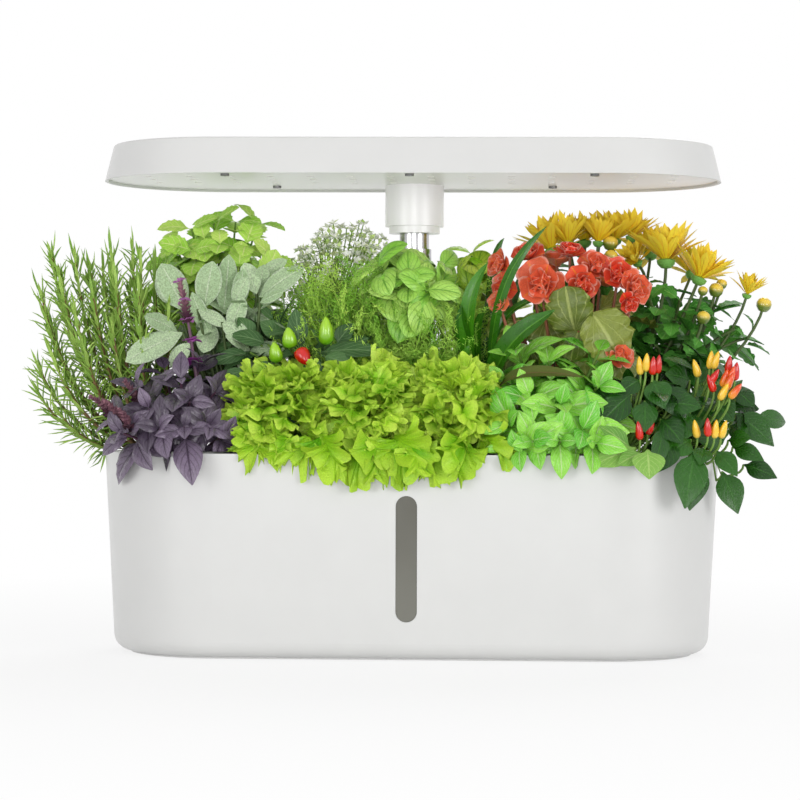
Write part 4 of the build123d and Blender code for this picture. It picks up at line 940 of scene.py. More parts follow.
# ---- Purple basil --------------------------------------------------------------------------------
# Glossy dark purple leaves with sunken veins, in rosettes that lean over the rim, a tuft of pinkish
# buds, and one flower spike with rings of small magenta flowers.
purple_skin = foliage("purple_skin", srgb(38, 28, 44), srgb(142, 124, 150), srgb(40, 22, 44), ribs=6,
                      slant=0.9, roughness=0.3, sheer=0.04, shine=0.6, relief=0.0012)
purple_foot = (-125, -44, sponge_top)
purple_tips = [
    ((-138, -62, 169), (0.0, -0.6, 0.8)), ((-131, -74, 156), (0.3, -1, 0.3)),
    ((-148, -82, 140), (-0.3, -1, 0.4)), ((-165, -58, 165), (-0.5, -0.6, 0.7)),
    ((-176, -62, 146), (-1, -0.5, 0.4)), ((-117, -60, 162), (0.6, -0.7, 0.5)),
    ((-119, -78, 142), (0.5, -1, 0.3)), ((-156, -70, 152), (-0.2, -1, 0.5)),
    ((-128, -44, 179), (0.4, -0.2, 0.9)), ((-171, -74, 137), (-0.6, -1, 0.3)),
    ((-133, -84, 141), (0.1, -1, 0.5)), ((-152, -30, 176), (-0.2, 0.2, 1)),
    ((-113, -66, 134), (0.5, -1, 0.1)),
]
purple_lines = shoots(purple_foot, purple_tips)
purple_leaves = [
    blade(length, width, ovate(0.4, 0.85), rows=12, columns=6, cup=-0.25, fold=0.4, droop=droop,
          quilt=(2.4, 6), stalk=0.1, thickness=0.6)
    for length, width, droop in ((33, 17, 50), (36, 19, 35), (29, 15, 65))
]
dress("purple_basil_leaves", leafy(purple_lines, purple_leaves, purple_skin, spacing=5.5, start=0.66,
      low_angle=90, high_angle=34, low_size=1.05, high_size=0.5, scatter=14, seed=21),
      purple_skin, "purple_basil")
purple_bark = moulded("purple_bark", srgb(96, 62, 84), 0.5, grain=0.0006, depth=0.0001, mottle=0.2)
spike_line = curve_through(purple_foot, (-130, -50, 187), (-142, -36, 230))
dress("purple_basil_stems", stems_of(purple_lines + [spike_line], purple_bark, 1.5, 0.7),
      purple_bark)

magenta_skin = foliage("magenta_skin", srgb(176, 66, 176), srgb(250, 186, 244), roughness=0.5, sheer=0.1,
                       low=0.9)
spike_petals = [blade(7.0, 5.2, ovate(0.6, 0.5), rows=4, columns=2, cup=0.3, droop=40, thickness=0.4)]
spike_top = spike_line[4:]
dress("spike_flowers",
      leafy([spike_top], spike_petals, magenta_skin, spacing=11, start=0.1, ring=8, turn=35, low_angle=80,
            high_angle=60, low_size=1.0, high_size=0.6, scatter=20, seed=4), magenta_skin)
calyx = [blade(5.0, 3.0, ovate(0.4, 0.6), rows=3, columns=2, cup=0.4, thickness=0.5)]
bud_lines = [
    curve_through(np.array(tip) - (0, -8, 6), tip, np.array(tip) + (dx, -6, 7))
    for tip, dx in (((-172, -74, 148), -8), ((-179, -70, 151), -10), ((-167, -78, 143), -4),
                    ((-164, -68, 160), -5))
]
bud_lines.append(spike_line[7:])
bud_skin = foliage("bud_skin", srgb(96, 56, 78), srgb(176, 128, 138), roughness=0.45, sheer=0.08)
dress("purple_buds", leafy(bud_lines, calyx, bud_skin, spacing=2.6, start=0.05, ring=6, turn=30, low_angle=60,
      high_angle=30, low_size=1.2, high_size=0.7, scatter=10, seed=6), bud_skin)

# ---- Green chili ---------------------------------------------------------------------------------
# A low pepper plant with pointed dark leaves, two green peppers and a red one standing up in it.
chili_skin = foliage("chili_skin", srgb(46, 82, 40), srgb(100, 140, 84), srgb(124, 158, 104), ribs=6,
                     slant=0.8, roughness=0.42, sheer=0.08, shine=0.1)
green_chili_foot = (-52, 0, sponge_top)
green_chili_tips = [
    ((-100, -16, 201), (-1, -0.3, 0.5)), ((-85, -14, 206), (-0.4, -0.5, 0.8)),
    ((-69, -20, 198), (0, -0.7, 0.7)), ((-50, -18, 189), (0.6, -0.6, 0.5)), ((-38, -14, 192), (1, -0.4, 0.3)),
    ((-92, -24, 187), (-0.8, -0.9, 0.2)), ((-62, -28, 184), (0.2, -1, 0.3)),
    ((-78, -24, 192), (-0.2, -1, 0.5)), ((-109, -22, 192), (-1, -0.5, 0.2)),
]
green_chili_lines = shoots(green_chili_foot, green_chili_tips, reach=22)
pointed_leaves = [
    blade(length, width, ovate(0.38, 0.8), rows=8, columns=4, cup=-0.1, fold=0.28, droop=droop,
          quilt=(0.6, 5), stalk=0.16, thickness=0.5)
    for length, width, droop in ((34, 13, 30), (40, 15, 45), (28, 11, 20))
]
dress("green_chili_leaves",
      leafy(green_chili_lines, pointed_leaves, chili_skin, spacing=6, start=0.55, ring=1, turn=golden_angle,
            low_angle=85, high_angle=35, low_size=1.0, high_size=0.6, scatter=18, seed=31),
            chili_skin, "green_chili")
green_chili_places = [
    ((-57, -34, 187), (-13, -42, 193), 13), ((-54, -40, 185), (-31, -46, 180), 13),
    ((-68, -34, 190), (-70, -38, 214), 13), ((-99, -30, 187), (-123, -36, 183), 12),
    ((-99, -46, 176), (-119, -52, 171), 9), ((-88, -30, 192), (-110, -34, 201), 13),
    ((-78, -26, 195), (-92, -28, 208), 14), ((-46, -28, 192), (-36, -30, 206), 12),
    ((-64, -40, 183), (-53, -48, 172), 12), ((-83, -40, 181), (-93, -48, 172), 12),
    ((-43, -30, 187), (-27, -34, 198), 12), ((-97, -24, 195), (-106, -26, 210), 12),
]
green_chili_front = make_mesh("green_chili_front", joined([
    leaf_at(foot, tip, width, (0.1, -1, 0.8), outline=ovate(0.4, 0.75), rows=10, columns=4, cup=-0.1,
            fold=0.25, droop=25, quilt=(0.6, 5), stalk=0.1, thickness=0.5)
    for foot, tip, width in green_chili_places
]))
keep_clear(green_chili_front)
dress("green_chili_front_leaves", green_chili_front, chili_skin)
green_chili_lines += [curve_through(green_chili_foot, (-52, -14, 160), foot)
                      for foot, tip, width in green_chili_places]
dress("green_chili_stems", stems_of(green_chili_lines, green_bark, 1.4, 0.7), green_bark)


def turned(profile, sides=10):
    """A closed round form about +Z from radius and height pairs, its first and last points on the axis."""
    profile = np.array(profile, float)
    angle = np.arange(sides) * 2 * np.pi / sides
    ring = np.stack([np.cos(angle), np.sin(angle)], axis=1)
    body = [np.column_stack([ring * radius, np.full(sides, height)]) for radius, height in profile[1:-1]]
    points = np.concatenate(body + [[(0, 0, profile[0][1])], [(0, 0, profile[-1][1])]])
    count = len(profile) - 2
    near, after = np.arange(sides), (np.arange(sides) + 1) % sides
    faces = []
    for level in range(count - 1):
        low, top = level * sides, (level + 1) * sides
        faces += np.column_stack([low + near, low + after, top + after, top + near]).tolist()
    last = (count - 1) * sides
    faces += [(after[k], near[k], count * sides) for k in range(sides)]
    faces += [(last + near[k], last + after[k], count * sides + 1) for k in range(sides)]
    height = (points[:, 2] - profile[0][1]) / (profile[-1][1] - profile[0][1])
    chart = np.column_stack([np.full(len(points), 0.5), height])
    return points, faces, chart


def pepper(length, radius):
    """A small pepper that stands on its stalk, broad below and pointed above."""
    rise = np.array([0, 0, 0.12, 0.3, 0.55, 0.78, 0.93, 1.0]) * length
    width = np.array([0, 0.55, 0.95, 1.0, 0.86, 0.58, 0.26, 0]) * radius
    return turned(list(zip(width, rise)))


def fruit_skin(name, low_colour, high_colour, turn=(0.0, 0.7)):
    """A shiny fruit that colours from its stalk to its tip."""
    material = moulded(name, low_colour, 0.22, grain=0.002, depth=0.00005, Coat_Weight=0.4,
                       Coat_Roughness=0.08)
    tree = material.node_tree
    split = tree.nodes.new("ShaderNodeSeparateXYZ")
    tree.links.new(add_node(tree, "ShaderNodeUVMap", uv_map="UVMap").outputs[0], split.inputs[0])
    ripe = mix_colour(tree, ramp(tree, split.outputs[1], *turn), low_colour, high_colour)
    tree.links.new(ripe, tree.nodes["Principled BSDF"].inputs["Base Color"])
    return material


green_fruit = fruit_skin("green_fruit", srgb(96, 160, 20), srgb(160, 210, 40))
red_fruit = fruit_skin("red_fruit", srgb(214, 30, 12), srgb(206, 16, 16))
dress("green_peppers", make_mesh("green_peppers", joined([
    aimed(pepper(13, 4.8), (-73, -42, 190), (-0.1, -0.3, 1)),
    aimed(pepper(17.5, 4.8), (-51, -42, 192), (0, -0.2, 1)),
    aimed(pepper(13, 4.4), (-81, -44, 181), (-0.15, -0.3, 1)),
])), green_fruit)
dress("green_chili_red_pepper", make_mesh("red_pepper", joined([
    aimed(pepper(12, 5.0), (-67, -44, 188), (0.5, -0.6, -0.8)),
])), red_fruit)

# ---- Lettuces ------------------------------------------------------------------------------------
# Three loose lettuces whose broad, crisp leaves are lobed and frilled all round and hang over the
# front rim. They run together into one bright mass.
# Two copies of one lettuce skin: the heads' is painted lighter against the shade of the lamp head, and the
# hanging leaves' is darker, painted shade under the heads.
lettuce_skin = foliage("lettuce_skin", srgb(112, 202, 16), srgb(222, 254, 74), srgb(216, 248, 100),
                       roughness=0.4, sheer=0.15, shine=0.15, relief=0.002, rim=srgb(228, 254, 100))
hanging_lettuce_skin = foliage("hanging_lettuce_skin", srgb(92, 184, 12), srgb(192, 236, 50),
                               srgb(200, 238, 80), roughness=0.4, sheer=0.15, shine=0.15, relief=0.002,
                               rim=srgb(204, 240, 70))


def frilly_leaf(length, seed, rows=5, columns=72, spread=72, curl=35, frill=1.0):
    """A fan-shaped leaf whose margin is far longer than the leaf is wide, and so folds into ruffles."""
    draw = np.random.default_rng(seed)
    out = np.linspace(0.08, 1, rows + 1)[:, None]
    way = np.linspace(-1, 1, columns + 1)[None, :]
    shift = draw.uniform(0, 2 * np.pi, 6)
    folds, puckers = draw.uniform(2.4, 3.4), draw.uniform(8, 12)
    fold = math.pi * folds * way + 0.9 * np.sin(2.3 * way + shift[0]) + shift[1]
    pucker = math.pi * puckers * way + 1.3 * np.sin(3.1 * way + shift[2]) + shift[3]
    strength = 0.75 + 0.35 * np.sin(4.1 * way + shift[4])
    angle = math.radians(spread) * way
    lobes = 1 + out ** 3 * (0.07 * np.sin(fold + shift[5]) + 0.06 * np.sin(pucker + shift[0])
                            + 0.025 * np.sin(47 * way))
    reach = length * (0.62 + 0.38 * np.cos(angle)) * lobes * out
    angle = angle * (0.5 + 0.5 * out) + out ** 2.5 * (0.10 * np.sin(2 * fold) + 0.03 * np.cos(pucker))
    height = frill * length * (0.14 * out ** 1.7 * strength * np.sin(fold)
                               + 0.07 * out ** 2.5 * np.sin(pucker))
    height = height + length * 0.03 * np.sin(9 * out + shift[1]) * np.cos(7 * way + shift[2]) * out
    x, flat = reach * np.sin(angle), reach * np.cos(angle)
    bend = math.radians(curl) / length
    turn = bend * flat
    y, z = np.sin(turn) / bend, -(1 - np.cos(turn)) / bend
    y, z = y + height * np.sin(turn), z + height * np.cos(turn)
    centre = np.stack([x, y, z], axis=-1)
    thick = 0.25 * (1 - way ** 4) * np.ones_like(out)
    lift = np.stack([0 * x, thick * np.sin(turn), thick * np.cos(turn)], axis=-1)
    return sheet(centre + lift, centre - lift, out, (way + 1) / 2)


def lettuce(centre, radii, seed, count=114, lowest=122):
    """A loose head: short frilly leaves all over a dome, each standing outwards with its own twist."""
    draw = np.random.default_rng(seed)
    leaves = []
    for number in range(count):
        level = 1 - (1 - math.cos(math.radians(lowest))) * (number + 0.5) / count
        lean = math.acos(level) + draw.normal(0, 0.12)
        around = number * math.radians(golden_angle) + draw.normal(0, 0.25)
        out = np.array([math.sin(lean) * math.cos(around), math.sin(lean) * math.sin(around), math.cos(lean)])
        place = np.sign(out) * np.abs(out) ** (0.65, 1.0, 0.8) * radii
        way = out + draw.normal(0, 0.35, 3) + (0, 0, 0.15)
        face = (-math.cos(lean) * math.cos(around), -math.cos(lean) * math.sin(around), math.sin(lean))
        length = draw.uniform(17, 28)
        form = frilly_leaf(length, seed * 100 + number, curl=draw.uniform(10, 85))
        depth = draw.choice((0.8, 0.8, 1.25))
        foot = np.array(centre) + place * (1 - depth * length / np.linalg.norm(place))
        leaves.append(put(form, foot, way, np.array(face) + draw.normal(0, 0.55, 3)))
    return leaves


def draped(middle, lengths, seed):
    """Leaves that hang over the front rim side by side, before the foot of a head."""
    draw = np.random.default_rng(seed)
    leaves = []
    for number, length in enumerate(lengths):
        foot = (middle + 8.5 * (number - 3), -64 - draw.uniform(0, 5), 137)
        form = frilly_leaf(length, seed + number, spread=70, curl=48, frill=0.95)
        leaves.append(put(form, foot, (draw.normal(0, 0.35), -1, -1.1), (draw.normal(0, 0.6), -0.9, 0.25)))
    return leaves


lettuce_rows = [
    ("lettuce_left", (-77, -46, 145), 3, (21, 23, 25, 25, 27, 28, 29)),
    ("lettuce_middle", (-26, -47, 146), 7, (30, 31, 33, 34, 34, 33, 34)),
    ("lettuce_right", (27, -46, 145), 9, (34, 33, 33, 32, 30, 28, 24)),
]
head_radii = (36, 35, 38)
for name, middle, seed, hanging in lettuce_rows:
    head = make_mesh(name + "_leaves", joined(lettuce(middle, head_radii, seed)))
    keep_clear(head)
    dress(name + "_leaves", head, lettuce_skin, name)
    drape = make_mesh(name + "_hanging_leaves", joined(draped(middle[0], hanging, seed * 90)))
    keep_clear(drape)
    dress(name + "_hanging_leaves", drape, hanging_lettuce_skin)

# ---- Dill ----------------------------------------------------------------------------------------
# A soft mound of feathery fronds, each cut into fine threads, with painted shade that darkens them low on the
# stems.
dill_skin = foliage("dill_skin", srgb(114, 190, 48), srgb(218, 250, 116), roughness=0.6, relief=0.0001,
                    low=0.5)


def thread(start, end, radius):
    """A three-sided thread, pointed at both ends."""
    start, end = np.array(start, float), np.array(end, float)
    way = (end - start) / np.linalg.norm(end - start)
    side = np.cross(way, (0.3, 0.2, 1.0))
    side /= np.linalg.norm(side)
    other = np.cross(way, side)
    middle = (start + end) / 2
    corners = [middle + radius * (side * math.cos(turn) + other * math.sin(turn))
               for turn in (0, 2.094, 4.189)]
    points = np.array([start, end] + corners)
    faces = [(0, 3, 2), (0, 4, 3), (0, 2, 4), (1, 2, 3), (1, 3, 4), (1, 4, 2)]
    return points, faces, np.tile((0.5, 0.5), (5, 1))


def frond(length, pairs=7, radius=0.55, seed=1):
    """A feathery leaf along +Y: a thin midrib with side ribs, each with threads of its own."""
    draw = np.random.default_rng(seed)
    threads = [thread((0, 0, 0), (0, length, -length * 0.1), radius)]
    for number in range(pairs):
        share = (number + 0.6) / pairs
        for side in (-1, 1):
            foot = np.array([0, length * share, -length * 0.1 * share])
            lean = math.radians(52 + draw.normal(0, 8))
            way = np.array([side * math.sin(lean), math.cos(lean), draw.normal(0, 0.35)])
            reach = length * 0.42 * (1 - 0.72 * share)
            threads.append(thread(foot, foot + way * reach, radius * 0.8))
            for step in (0.35, 0.65, 0.95):
                for turn in (-1, 1):
                    spread = np.array([way[0] * 0.6 - turn * way[1] * 0.8, way[1] * 0.6 + turn * way[0] * 0.8,
                                       draw.normal(0, 0.5)])
                    near = foot + way * reach * step
                    threads.append(thread(near, near + spread * reach * 0.42, radius * 0.7))
    points, faces, chart, tint = joined(threads)
    return points, faces, chart


dill_foot = (0, 0, sponge_top)
dill_lines = bush(dill_foot, (-40, -3, 184), (36, 24, 46), 44, seed=41, low=-0.35, reach=0.6)
dill_lines += bush(dill_foot, (8, -4, 178), (40, 20, 38), 44, seed=43, low=-0.3, reach=0.6)
fronds = [frond(length, seed=number) for number, length in enumerate((30, 36))]
dress("dill_fronds",
      leafy(dill_lines, fronds, dill_skin, spacing=13, start=0.5, ring=1, turn=golden_angle, low_angle=62,
            high_angle=22, low_size=1.0, high_size=0.8, scatter=20, seed=42), dill_skin,
            "dill")
dress("dill_stems", stems_of(dill_lines, green_bark, 0.9, 0.5, 5), green_bark)

# ---- White thyme ---------------------------------------------------------------------------------
# A loose dome of hair-thin stems with tiny pale leaves and specks of white flower.
thyme_skin = foliage("thyme_skin", srgb(180, 222, 92), srgb(255, 255, 214), roughness=0.6, speck=0)
white_skin = foliage("white_skin", srgb(246, 250, 236), srgb(254, 254, 250), roughness=0.5, low=1.0, speck=0)
thyme_foot = (-84, 44, sponge_top)
thyme_lines = bush(thyme_foot, (-44, 45, 222), (40, 25, 52), 120, seed=51, low=-0.3, reach=0.6)
tiny_leaves = [blade(5.5, 3.4, ovate(0.5, 0.5), rows=2, columns=2, cup=0.2, droop=20, thickness=0.4)]
dress("white_thyme_leaves",
      leafy(thyme_lines, tiny_leaves, thyme_skin, spacing=4.2, start=0.5, low_angle=70, high_angle=45,
            low_size=1.0, high_size=0.8, scatter=25, seed=52), thyme_skin, "white_thyme")
tiny_petals = [blade(4.0, 3.4, ovate(0.6, 0.5), rows=2, columns=2, thickness=0.3)]
thyme_tips = [line[-3:] for line in thyme_lines]
dress("white_thyme_flowers",
      leafy(thyme_tips, tiny_petals, white_skin, spacing=5.5, start=0.05, ring=5, turn=36, low_angle=75,
            high_angle=60, high_size=1.0, scatter=25, seed=53), white_skin)
dress("white_thyme_stems", stems_of(thyme_lines, green_bark, 0.6, 0.35, 4), green_bark)

# ---- Sweet basil and large basil -----------------------------------------------------------------
# Two basils behind the mound of dill. Their glossy leaves puff up between deep veins and close in
# rosettes; those of the second are larger and paler.
basil_skin = foliage("basil_skin", srgb(122, 204, 42), srgb(222, 252, 136), srgb(80, 156, 34), ribs=5,
                     slant=1.1, roughness=0.3, shine=0.3, relief=0.0008)
pale_basil_skin = foliage("pale_basil_skin", srgb(146, 222, 34), srgb(240, 255, 104), srgb(104, 170, 40),
                          ribs=5, slant=1.1, roughness=0.34, shine=0.25, relief=0.0008)


def puffy(length, width, droop, quilt=2.0):
    return blade(length, width, ovate(0.45, 0.6), rows=12, columns=6, cup=-0.45, fold=0.45, droop=droop,
                 quilt=(quilt, 5), stalk=0.08, thickness=0.6)


sweet_basil_foot = (-42, 44, sponge_top)
sweet_basil_tips = [
    ((10, -24, 226), (0.3, -1, 0.3)), ((-6, -6, 239), (-0.2, -0.5, 0.9)), ((-21, -8, 241), (-0.9, -0.5, 0.4)),
    ((18, 0, 241), (0.8, -0.5, 0.6)), ((-2, -22, 232), (-0.4, -0.9, 0.4)), ((7, 14, 240), (0.4, 0.2, 1)),
    ((-15, 20, 242), (-0.5, 0.4, 0.8)), ((18, -10, 230), (0.9, -0.7, 0.1)),
]
sweet_basil_back_tips = [
    ((-52, 60, 158), (-0.4, 1, 0.4)), ((-34, 62, 176), (0.4, 1, 0.4)), ((-46, 60, 198), (-0.2, 1, 0.5)),
    ((-38, 50, 140), (0.6, 0.8, 0.3)), ((-48, 60, 220), (-0.1, 1, 0.6)),
]
sweet_basil_lines = shoots(sweet_basil_foot, sweet_basil_tips)
sweet_basil_back = shoots(sweet_basil_foot, sweet_basil_back_tips)
puffy_leaves = [puffy(35, 22, 55), puffy(39, 24, 75), puffy(30, 20, 35)]
dress("sweet_basil_leaves", leafy(sweet_basil_lines, puffy_leaves, basil_skin, spacing=6, start=0.84,
      low_angle=92, high_angle=50, low_size=1.0, high_size=0.6, scatter=12, seed=61),
      basil_skin, "sweet_basil")
dress("sweet_basil_back_leaves",
      leafy(sweet_basil_back, puffy_leaves, basil_skin, spacing=7, start=0.6, low_angle=92, high_angle=50,
            low_size=0.9, high_size=0.6, scatter=12, seed=62), basil_skin)
dress("sweet_basil_stems", stems_of(sweet_basil_lines + sweet_basil_back, green_bark, 1.5, 0.8),
      green_bark)

large_basil_foot = (84, 44, sponge_top)
large_basil_tips = [
    ((28, 36, 238), (-0.7, -0.6, 0.6)), ((37, 40, 252), (0, -0.2, 1)), ((46, 38, 240), (0.6, -0.5, 0.6)),
    ((36, 30, 227), (-0.1, -1, 0.2)), ((20, 46, 236), (-1, -0.1, 0.4)), ((40, 54, 243), (0.1, 0.9, 0.5)),
    ((92, 62, 160), (0.4, 1, 0.4)), ((72, 62, 182), (-0.3, 1, 0.4)), ((82, 60, 208), (0.2, 1, 0.5)),
    ((60, 58, 204), (-0.6, 0.8, 0.4)), ((76, 54, 142), (-0.6, 0.8, 0.3)),
]
large_basil_lines = shoots(large_basil_foot, large_basil_tips, reach=34)
dress("large_basil_leaves", leafy(large_basil_lines, [puffy(38, 26, 70), puffy(33, 22, 50)], pale_basil_skin,
      spacing=9, start=0.74, low_angle=92, high_angle=42, low_size=1.0, high_size=0.5, scatter=12, seed=66),
      pale_basil_skin, "large_basil")
dress("large_basil_stems", stems_of(large_basil_lines, green_bark, 1.6, 0.9), green_bark)

# ---- Long-leaf plant -----------------------------------------------------------------------------
# A tuft of long pointed blades, dark green and grooved along the middle, some upright and some that
# arch out. One older blade is brownish.
long_skin = foliage("long_skin", srgb(16, 76, 6), srgb(76, 148, 22), srgb(104, 170, 44), roughness=0.3,
                    sheer=0.08, shine=0.4)
long_foot = (52, 0, sponge_top)
long_blades = [
    ([(46, -4, 158), (46, -34, 225), (61, -40, 243), (84, -36, 265)], 7, (0.5, -1, 0.2)),
    ([(42, -2, 158), (27, -30, 206), (36, -34, 225), (48, -30, 243)], 11, (-0.5, -1, 0.2)),
    ([(43, 4, 158), (49, 4, 234), (50, 2, 253), (58, 0, 260)], 6, (0.2, -1, 0.1)),
    ([(45, -6, 158), (41, -20, 223), (64, -26, 219), (86, -26, 223), (104, -24, 226)], 5, (0, -1, 0.8)),
    ([(47, -8, 156), (46, -44, 187), (68, -56, 199), (89, -54, 213)], 17, (0.2, -0.9, 0.9)),
    ([(45, -8, 158), (37, -18, 192), (30, -24, 201), (32, -28, 217)], 11, (-0.5, -1, 0.3)),
    ([(44, 0, 158), (38, -14, 195), (39, -20, 208), (49, -22, 218)], 6, (-0.2, -1, 0.5)),
    ([(46, 2, 157), (52, 8, 196), (62, 14, 222), (73, 18, 246)], 8, (0.5, -0.8, 0.3)),
    ([(46, 2, 157), (40, 16, 190), (35, 26, 216), (31, 30, 229)], 9, (-0.4, -0.6, 0.4)),
    ([(42, -10, 156), (35, -30, 175), (32, -34, 184), (37, -36, 192)], 8, (-0.2, -1, 0.4)),
    ([(43, 4, 156), (39, 6, 183), (40, 10, 199), (45, 12, 210)], 13, (0, -1, 0.3)),
    ([(42, 6, 156), (32, 12, 190), (28, 16, 206), (29, 20, 222)], 12, (-0.2, -1, 0.3)),
]


def smooth_line(corners, steps=14):
    """A line that leaves its first corner, is drawn towards the next ones, and ends at the last."""
    corners = [np.array(corner, float) for corner in corners]
    share = np.linspace(0, 1, steps + 1)[:, None]
    level = [corner + 0 * share for corner in corners]
    while len(level) > 1:
        level = [first * (1 - share) + second * share for first, second in zip(level, level[1:])]
    return level[0]


def long_blade(corners, width, face):
    line = smooth_line([(*long_foot[:2], 116)] + corners)
    length = float(np.linalg.norm(np.diff(line, axis=0), axis=1).sum())
    form = blade(length, width, ovate(0.62, 0.8), rows=18, columns=4, fold=0.35, thickness=0.6)
    return bent(form, line, face)


long_mesh = make_mesh("long_leaf_blades", joined([long_blade(*values) for values in long_blades]))
keep_clear(long_mesh)
dress("long_leaf_blades", long_mesh, long_skin, "long_leaf_plant")
brown_blade_skin = foliage("brown_blade_skin", srgb(66, 84, 28), srgb(104, 112, 44), srgb(120, 84, 50),
                           sheer=0.06)
brown_line = [(42, -40, 157), (51, -66, 179), (68, -72, 175), (89, -72, 176), (106, -70, 172)]
brown_mesh = make_mesh("brown_blade", joined([long_blade(brown_line, 10, (0, -0.8, 0.8))]))
keep_clear(brown_mesh)
dress("long_leaf_old_blade", brown_mesh, brown_blade_skin)

# ---- Begonia -------------------------------------------------------------------------------------
# Double red flowers like small roses, each of many cupped petals about an orange heart, over round
# olive leaves with fine veins that spread from the stalk.
begonia_foot = (104, 0, sponge_top)
red_petal_skin = foliage("red_petal_skin", srgb(236, 22, 16), srgb(255, 150, 104), roughness=0.36, sheer=0.1,
                         shine=0.35, vein=srgb(254, 150, 50), edge=srgb(255, 188, 168), low=0.95)
begonia_skin = foliage("begonia_skin", srgb(78, 102, 26), srgb(150, 162, 66), srgb(188, 198, 112), ribs=5,
                       fan=3.4, roughness=0.36, shine=0.3, relief=0.001)


def double_flower(radius, petals=15, seed=1):
    """A flower like a small rose that opens along +Z."""
    draw = np.random.default_rng(seed)
    forms = []
    for number in range(petals):
        share = number / (petals - 1)
        around = number * math.radians(golden_angle) + draw.normal(0, 0.15)
        lean = math.radians(6 + 64 * share ** 1.2)
        length, width = radius * (0.55 + 0.62 * share), radius * (0.75 + 0.75 * share)
        form = blade(length, width, ovate(0.66, 0.42), rows=7, columns=8, cup=0.6 - 0.2 * share,
                     droop=-75 + 95 * share, ruffle=(radius * 0.03, 1.5), thickness=0.5,
                     phase=draw.uniform(0, 6))
        way = (math.sin(lean) * math.cos(around), math.sin(lean) * math.sin(around), math.cos(lean))
        face = (-math.cos(lean) * math.cos(around), -math.cos(lean) * math.sin(around), math.sin(lean))
        forms.append(put(form, (0, 0, -radius * 0.25 * share), way, face))
    points, faces, chart, tint = joined(forms)
    return points, faces, chart


begonia_flowers = [
    ((81, -24, 230), 15, (-0.1, -1, 0.1)), ((56, -8, 242), 10, (-0.8, -0.7, 0.2)),
    ((73, -6, 248), 11, (-0.3, -0.6, 0.8)), ((99, -2, 250), 10, (0.1, -0.5, 0.9)),
    ((115, -8, 241), 11, (0.2, -0.9, 0.5)), ((129, -12, 236), 11, (0.1, -1, 0.3)),
    ((139, -14, 228), 11, (0.7, -1, 0)), ((106, -22, 231), 11, (0.2, -0.9, -0.3)),
    ((59, -20, 228), 9, (-0.6, -1, -0.1)), ((55, -26, 218), 7, (-0.4, -1, 0.1)),
    ((129, -34, 185), 9, (0.4, -1, 0.2)), ((91, 6, 245), 10, (0.1, 0.2, 1)),
    ((84, 20, 242), 11, (-0.3, 0.8, 0.6)), ((119, 18, 237), 11, (0.4, 0.8, 0.5)),
    ((135, -20, 219), 7, (0.5, -1, -0.5)),
]
flowers = joined([
    aimed(double_flower(radius, seed=number), place, axis)
    for number, (place, radius, axis) in enumerate(begonia_flowers)
])
flower_mesh = make_mesh("begonia_flowers", flowers)
keep_clear(flower_mesh)
dress("begonia_flowers", flower_mesh, red_petal_skin)


def round_leaf(width, seed=1):
    """A round, slightly wavy leaf that is notched where its stalk joins it."""
    wave = np.random.default_rng(seed).uniform(0, 6)
    return blade(width * 0.95, width, ovate(0.48, 0.42), rows=12, columns=8, cup=0.12, droop=28,
                 ruffle=(width * 0.1, 4), quilt=(width * 0.09, 6), teeth=0.05, thickness=0.6, phase=wave)


begonia_leaf_places = [
    ((102, -30, 200), 31, (-0.25, -0.25, 0.9), (-0.3, -1, 0.1)),
    ((112, -36, 212), 35, (0.5, -0.1, -0.7), (0.2, -1, 0.2)),
    ((104, -32, 201), 20, (-0.3, -0.2, -0.9), (-0.3, -1, 0)),
    ((68, -14, 208), 24, (-0.8, -0.3, -0.4), (-0.2, -1, 0.4)),
    ((84, -10, 209), 24, (0, -0.4, -0.8), (0.1, -1, 0.3)),
    ((124, -26, 189), 24, (0.6, -0.3, -0.6), (0.3, -1, 0.4)),
    ((118, 0, 215), 26, (0.9, 0, 0.3), (0, -0.7, 0.8)), ((93, 10, 209), 28, (-0.2, 0.7, 0.4), (0, 0.3, 1)),
    ((62, 4, 221), 22, (-0.8, 0.4, 0.2), (0, 0.2, 1)), ((111, -20, 193), 24, (0.1, -0.5, -0.8), (0, -1, 0.2)),
    ((74, -16, 192), 24, (-0.5, -0.3, -0.6), (-0.2, -1, 0.3)),
    ((134, 6, 209), 24, (0.8, 0.3, 0), (0.1, 0, 1)),
]
begonia_mesh = make_mesh("begonia_leaves", joined([
    put(round_leaf(width, seed), place, way, face)
    for seed, (place, width, way, face) in enumerate(begonia_leaf_places)
]))
keep_clear(begonia_mesh)
dress("begonia_leaves", begonia_mesh, begonia_skin, "begonia")
begonia_ends = [values[0] for values in begonia_leaf_places + begonia_flowers]
begonia_lines = [
    curve_through(begonia_foot, (0.6 * end[0] + 0.4 * begonia_foot[0], end[1] * 0.3, 0.45 * end[2] + 55), end)
    for end in begonia_ends
]
begonia_bark = moulded("begonia_bark", srgb(150, 90, 62), 0.4, grain=0.0006, depth=0.0001, mottle=0.25)
dress("begonia_stems", stems_of(begonia_lines, begonia_bark, 1.5, 0.9), begonia_bark)

# ---- Chrysanthemum -------------------------------------------------------------------------------
# Yellow flowers seen from the side as bowls of long rays, with round buds and dark lobed leaves on
# stiff stems. Orange-brown streaks down the middle and along the margins of each ray are painted shade
# for the shadows between the rays.
chrysanthemum_foot = (126, 44, sponge_top)
# the orange vein down each ray and the orange edge along its margins are painted shade
ray_skin = foliage("ray_skin", srgb(255, 208, 26), srgb(255, 230, 52), srgb(232, 104, 10), roughness=0.5,
                   sheer=0.1, low=1.0, edge=srgb(255, 168, 20), rim=srgb(255, 234, 80), rim_from=0.1, speck=0)
mum_leaf_skin = foliage("mum_leaf_skin", srgb(36, 114, 32), srgb(108, 184, 70), srgb(134, 190, 96), ribs=5,
                        slant=1.2, roughness=0.5, sheer=0.08)


